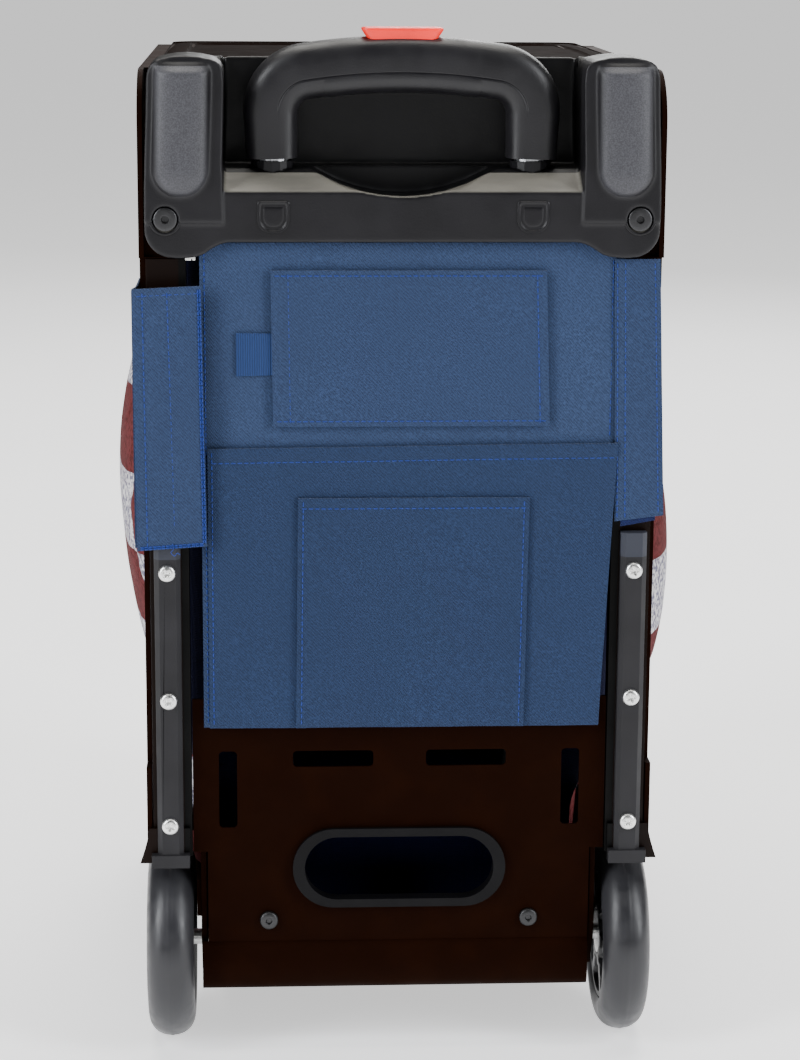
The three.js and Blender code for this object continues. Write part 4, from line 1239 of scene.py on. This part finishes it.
def make_right_flap():
    """Sewn to the back cloth along a slanting seam, and free at its outer edge."""
    low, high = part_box("flap_right")
    lap = 2.2 * MM
    corners = [(low.x + 2.6 * MM - lap, low.z), (high.x, low.z + 3 * MM), (high.x - 4.6 * MM, high.z),
               (low.x - lap, high.z)]
    seams = inset_edges(corners, 1.2 * MM, 3) + inset_edges(corners, 5.0 * MM, 3)
    seams += inset_edges(corners, 2.6 * MM, 1)
    seam_way = Vector((1, 0, 0.025))
    hinge = Vector((low.x, low.y, high.z))
    bend = ("frame", "right_flap", hinge - seam_way * 1.0 * MM, hinge + seam_way * 3.5 * MM)
    panel, stitching = sewn_sheet("right_flap_cloth", corners, low.y, 1.4 * MM, seams, bend, ["flap_right"],
                                  quad_edges(corners)[1:2], 0.3 * MM, "blue_flap")
    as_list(stitching)
    make_flap_lining(low, high)


def make_flap_lining(low, high):
    """The dark lining that shows in the right flap's open bottom edge."""
    left = low.x + 3.4 * MM
    right = high.x - 4 * MM
    corners = [(left, low.z - 2.6 * MM), (right, low.z + 0.4 * MM),
               (right, low.z + 8 * MM), (left, low.z + 6 * MM)]
    lining = patch("right_flap_lining", corners, low.y + 0.9 * MM, 0.8 * MM)
    piece(lining, "right_flap", "blue_fabric", "lining")


def make_left_wrap():
    """The left flap's own cloth goes on forwards round the side sheet, into the window."""
    low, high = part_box("flap_left")
    sheet_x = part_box("side_frame_left")[0].x
    rear = low.y + 1.0 * MM
    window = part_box("insert_bag")[0].y + 4 * MM
    x_out = low.x + 0.3 * MM
    route = [(x_out, rear), (x_out, rear + 8 * MM), (sheet_x - 1.6 * MM, rear + 16 * MM),
             (sheet_x - 1.2 * MM, window - 6 * MM), (sheet_x - 0.9 * MM, window - 1 * MM),
             (sheet_x + 4 * MM, window + 2 * MM), (sheet_x + 11 * MM, window + 3 * MM)]
    curve = eased(route, 6)
    heights = span(low.z + 1.5 * MM, high.z - 2.5 * MM, 40)
    wrap = thickened("left_wrap_cloth", [[(x, y, z) for z in heights] for x, y in curve], 0.9 * MM)
    piece(wrap, "frame", "blue_fabric", "blue_flap")
    run_length(curve)


def eased(points, steps):
    """A smooth curve through points (Catmull-Rom)."""
    known = [Vector(p) for p in points]
    known = [known[0] * 2 - known[1], *known, known[-1] * 2 - known[-2]]
    curve = []
    for a, b, c, d in zip(known, known[1:], known[2:], known[3:]):
        for k in range(steps):
            t = k / steps
            curve.append(0.5 * (2 * b + (c - a) * t + (2 * a - 5 * b + 4 * c - d) * t ** 2
                                + (3 * b - a - 3 * c + d) * t ** 3))
    return curve + [known[-2]]


def run_length(points):
    return sum((Vector(b) - Vector(a)).length for a, b in zip(points, points[1:]))


def thickened(name, rows, thickness):
    """A closed sheet over a grid of points, thickness deep."""
    wide = len(rows[0])
    points = [tuple(p) for row in rows for p in row]
    faces = [(j * wide + i, j * wide + i + 1, (j + 1) * wide + i + 1, (j + 1) * wide + i)
             for j in range(len(rows) - 1) for i in range(wide - 1)]
    mesh = bpy.data.meshes.new(name)
    mesh.from_pydata(points, [], faces)
    sheet = shown(name, mesh)
    deep = sheet.modifiers.new("deep", "SOLIDIFY")
    deep.thickness = thickness
    deep.offset = 0
    return smoothed(settled(sheet), 60)


# ---------------------------------------------------------------- the bag

def rounded_box(name, low, high, corner, cuts=48):
    """A box with round edges, its faces divided into a grid."""
    bm = bmesh.new()
    bmesh.ops.create_cube(bm, size=2)
    bmesh.ops.subdivide_edges(bm, edges=bm.edges, cuts=cuts, use_grid_fill=True)
    centre = (low + high) / 2
    half = (high - low) / 2
    for vertex in bm.verts:
        point = Vector(c * h for c, h in zip(vertex.co, half))
        core = Vector(min(max(p, corner - h), h - corner) for p, h in zip(point, half))
        vertex.co = centre + core + (point - core).normalized() * corner
    return mesh_of(name, bm)


def make_bag_blank():
    """The filled bag before its cloth settles: a rounded box, wider where the windows let it swell."""
    low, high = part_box("insert_bag")
    inset = 2 * MM
    blank = rounded_box("striped_bag", Vector((-BAG_CORE, low.y + inset, low.z + inset)),
                        Vector((BAG_CORE, high.y - inset, high.z - inset)), 18 * MM)
    for vertex in blank.data.vertices:
        vertex.co.x *= bag_width(*vertex.co) / BAG_CORE
    return remeshed(blank, 5 * MM, 2)


def bag_width(x, y, z):
    """Half width of the bag: a boxy core that fills the frame, and a belly that swells out of each window."""
    dy = abs(y - 10 * MM)
    along_y = (dy / (160 * MM)) ** 8 if y > 10 * MM else (dy / (128 * MM)) ** 6
    frame_fill = max(0.0, 1 - along_y - (abs(z - 256 * MM) / (214 * MM)) ** 8)
    frame_fill *= max(smoothstep(-50 * MM, -10 * MM, y), smoothstep(115 * MM, 165 * MM, z))
    if x < 0:
        dz = z - 265 * MM
        fall = (dz / (101 * MM)) ** 2 if dz > 0 else -dz / (142 * MM)
        belly = 25.6 * MM
    else:
        fall = ((z - 228 * MM) / (93.5 * MM)) ** 2
        belly = 33.6 * MM
    swell = max(0.0, 1 - (dy / (118 * MM)) ** 2.4 - fall)
    return BAG_CORE + 24 * MM * frame_fill ** 0.5 + belly * swell ** 0.5 * smoothstep(0.0, 0.34, swell)


def puffed(obj, held, pressure, most):
    """Lets the cloth of a filled piece settle under pressure; held(point) says which of it stays put."""
    start = [v.co.copy() for v in obj.data.vertices]
    pins = obj.vertex_groups.new(name="held")
    for vertex in obj.data.vertices:
        pins.add([vertex.index], held(vertex.co), "REPLACE")
    cloth = obj.modifiers.new("fill", "CLOTH").settings
    cloth.quality = 5
    cloth.vertex_group_mass = "held"
    cloth.use_pressure = True
    cloth.uniform_pressure_force = pressure
    cloth.effector_weights.gravity = 0
    scene = bpy.context.scene
    for step in range(1, 21):
        scene.frame_set(step)
    made = obj.evaluated_get(bpy.context.evaluated_depsgraph_get()).data.vertices
    ends = [v.co.copy() for v in made]
    obj.modifiers.clear()
    scene.frame_set(1)
    for vertex, a, b in zip(obj.data.vertices, start, ends):
        move = b - a
        vertex.co = a + move * min(1.0, most / max(move.length, 1e-9))


def bag_grip(point):
    """How firmly the frame holds the bag's cloth: fully on the core, hardly at all in the windows."""
    return 1.0 - 0.93 * smoothstep(BAG_CORE + 8 * MM, BAG_CORE + 26 * MM, abs(point.x))


def crumpled(obj, size, height):
    """Soft irregular folds in a filled piece."""
    for vertex in obj.data.vertices:
        p = vertex.co
        fold = noise.noise(Vector((p.x * size, p.y * size * 1.5, p.z * size * 0.7)))
        crease = abs(noise.noise(Vector((p.y * size * 2.2, p.z * size * 1.1, 4.2))))
        vertex.co += vertex.normal * (fold - 0.8 * crease) * height


def make_bag():
    bag = make_bag_blank()
    crumpled(bag, 15, 1.6 * MM)
    puffed(bag, bag_grip, 4.0, 7 * MM)
    bag.modifiers.new("finer", "SUBSURF").levels = 1
    settled(bag)
    piece(smoothed(bag, 80), "frame", "stripe_fabric", "stripes", "insert_bag")
    trim_bag(bag)


def on_front(bag, x, z):
    """The point of the bag's front at (x, z), and which way its cloth faces there."""
    hit, point, normal, _ = bag.ray_cast(Vector((x, 0.4, z)), Vector((0, -1, 0)))
    if not hit:
        raise ValueError(f"the bag has no front at {x:.3f}, {z:.3f}")
    return point, normal


def door_path(half, low, top, corner):
    """An upside-down U as (x, z): up the left side, over the top and down the right side."""
    points = [(-half, z) for z in span(low, top - corner, 40)]
    points += arc((-half + corner, top - corner), corner, 180, 90, 12)[1:]
    points += [(x, top) for x in span(-half + corner, half - corner, 30)[1:]]
    points += arc((half - corner, top - corner), corner, 90, 0, 12)[1:]
    points += [(half, z) for z in span(top - corner, low, 40)[1:]]
    return points


def ribbon(name, bag, path, half, lift, thickness, material):
    """A flat tape sewn on the bag's front along a path."""
    rows = []
    for k, here in enumerate(path):
        way = Vector(path[min(k + 1, len(path) - 1)]) - Vector(path[max(k - 1, 0)])
        side = Vector((-way[1], way[0])).normalized() * half
        across = []
        for t in (-1, -0.5, 0, 0.5, 1):
            point, normal = on_front(bag, here[0] + side[0] * t, here[1] + side[1] * t)
            across.append(point + normal * (lift + thickness * (1 - 0.4 * abs(t))))
        under = [p - Vector((0, thickness + 0.3 * MM, 0)) for p in reversed(across)]
        rows.append(across + under)
    return piece(smoothed(lofted(name, rows), 50), "frame", "stripe_fabric", material)


def tube_along(name, points, radius, sides=10, loop=False):
    """A round cord along a path; radius may vary with the step."""
    path = [Vector(p) for p in points]
    count = len(path)
    side = Vector((0.3, 0.5, 0.8))
    rows = []
    for k, here in enumerate(path):
        ahead = path[(k + 1) % count] if loop or k + 1 < count else here
        behind = path[k - 1] if loop or k else here
        way = (ahead - behind).normalized()
        side = (side - way * side.dot(way)).normalized()
        up = way.cross(side)
        r = radius(k) if callable(radius) else radius
        rows.append([here + (side * math.cos(a) + up * math.sin(a)) * r for a in circle(sides)])
    return smoothed(lofted(name, rows, loop), 80)


def zip_teeth(bag, name, path, lift):
    """The zip's coil: a cord whose fine ribs are its teeth."""
    spots = [on_front(bag, x, z) for x, z in eased(path, 5)]

    def rib(k):
        return (1.75 + 0.35 * (k % 2)) * MM

    teeth = tube_along(name, [point + normal * lift for point, normal in spots], rib, 8)
    piece(teeth, "frame", "dark_steel", "dark_steel")


def zip_slider(bag, name, x, z):
    """A zip slider with its hinged puller hanging from it."""
    point, normal = on_front(bag, x, z)
    body = rounded_box(name, Vector((-3.4, -1.2, -5.2)) * MM, Vector((3.4, 3.4, 5.2)) * MM, 1.1 * MM, 10)
    turn = Matrix.Rotation(math.radians(90), 4, "Y")
    body.data.transform(Matrix.Translation(point + normal * 1.2 * MM) @ turn)
    piece(smoothed(body, 60), "frame", "screw_steel", "screw_steel")
    loop = [point + normal * (4.6 * MM)
            + Vector((3.2 * MM * math.cos(a), 0, 8.5 * MM * math.sin(a) - 9.5 * MM))
            for a in circle(28)]
    puller = tube_along(name + "_puller", loop, 0.8 * MM, 8, loop=True)
    piece(puller, "frame", "screw_steel", "screw_steel")


def front_pocket(bag, low):
    """A flat pocket on the lower half of the bag's front, bound along its top."""
    half = 58 * MM
    z0 = low.z + 34 * MM
    z1 = low.z + 172 * MM
    rows = []
    for j in span(0, 1, 50):
        row = []
        for i in span(-1, 1, 44):
            swell = (1 - i ** 4) * (1 - (2 * j - 1) ** 4)
            rise = Vector((0, 1, 0)) * (1.2 * MM + 5.5 * MM * swell)
            row.append(on_front(bag, half * i, z0 + (z1 - z0) * j)[0] + rise)
        rows.append(row)
    pocket = thickened("front_pocket_cloth", rows, 1.6 * MM)
    piece(pocket, "frame", "stripe_fabric", "blue_fabric")
    edge = [p + Vector((0, 0.4 * MM, 0)) for p in rows[-1]]
    binding = tube_along("front_pocket_binding", edge, 2.0 * MM, 10)
    piece(binding, "frame", "stripe_fabric", "zip_black")


def trim_bag(bag):
    """Piping, the zipped door and a pocket on the bag's front."""
    low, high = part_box("insert_bag")
    outline = door_path(PANEL_SEAM, low.z + 26 * MM, high.z - 11 * MM, 16 * MM)
    outline += [(x, low.z + 11 * MM) for x in span(PANEL_SEAM - 14 * MM, -PANEL_SEAM + 14 * MM, 30)]
    welt = [on_front(bag, x, z)[0] + Vector((0, 0.5 * MM, 0)) for x, z in outline]
    piece(tube_along("bag_piping", welt, 2.1 * MM, 10, loop=True), "frame", "stripe_fabric", "blue_tape")
    top = high.z - 30 * MM
    path = door_path(BAG_CORE - 17 * MM, low.z + 24 * MM, top, 24 * MM)
    ribbon("door_zip_tape", bag, path, 8 * MM, 0.5 * MM, 0.9 * MM, "zip_black")
    zip_teeth(bag, "door_zip_teeth", path, 1.3 * MM)
    zip_slider(bag, "door_zip_slider_a", -7 * MM, top)
    zip_slider(bag, "door_zip_slider_b", 7 * MM, top)
    front_pocket(bag, low)


# ---------------------------------------------------------------- assembly

make_camera()
make_lights()
FINISHES = make_finishes()
make_floor()
make_frame()
make_sheet_folds()
make_grommet()
make_rail_clip()
make_screws()
make_wheels()
make_housing()
make_grip()
make_seat()
make_back_cloth()
make_left_flap()
make_left_wrap()
make_right_flap()
make_bag()
finish_kept_nodes()
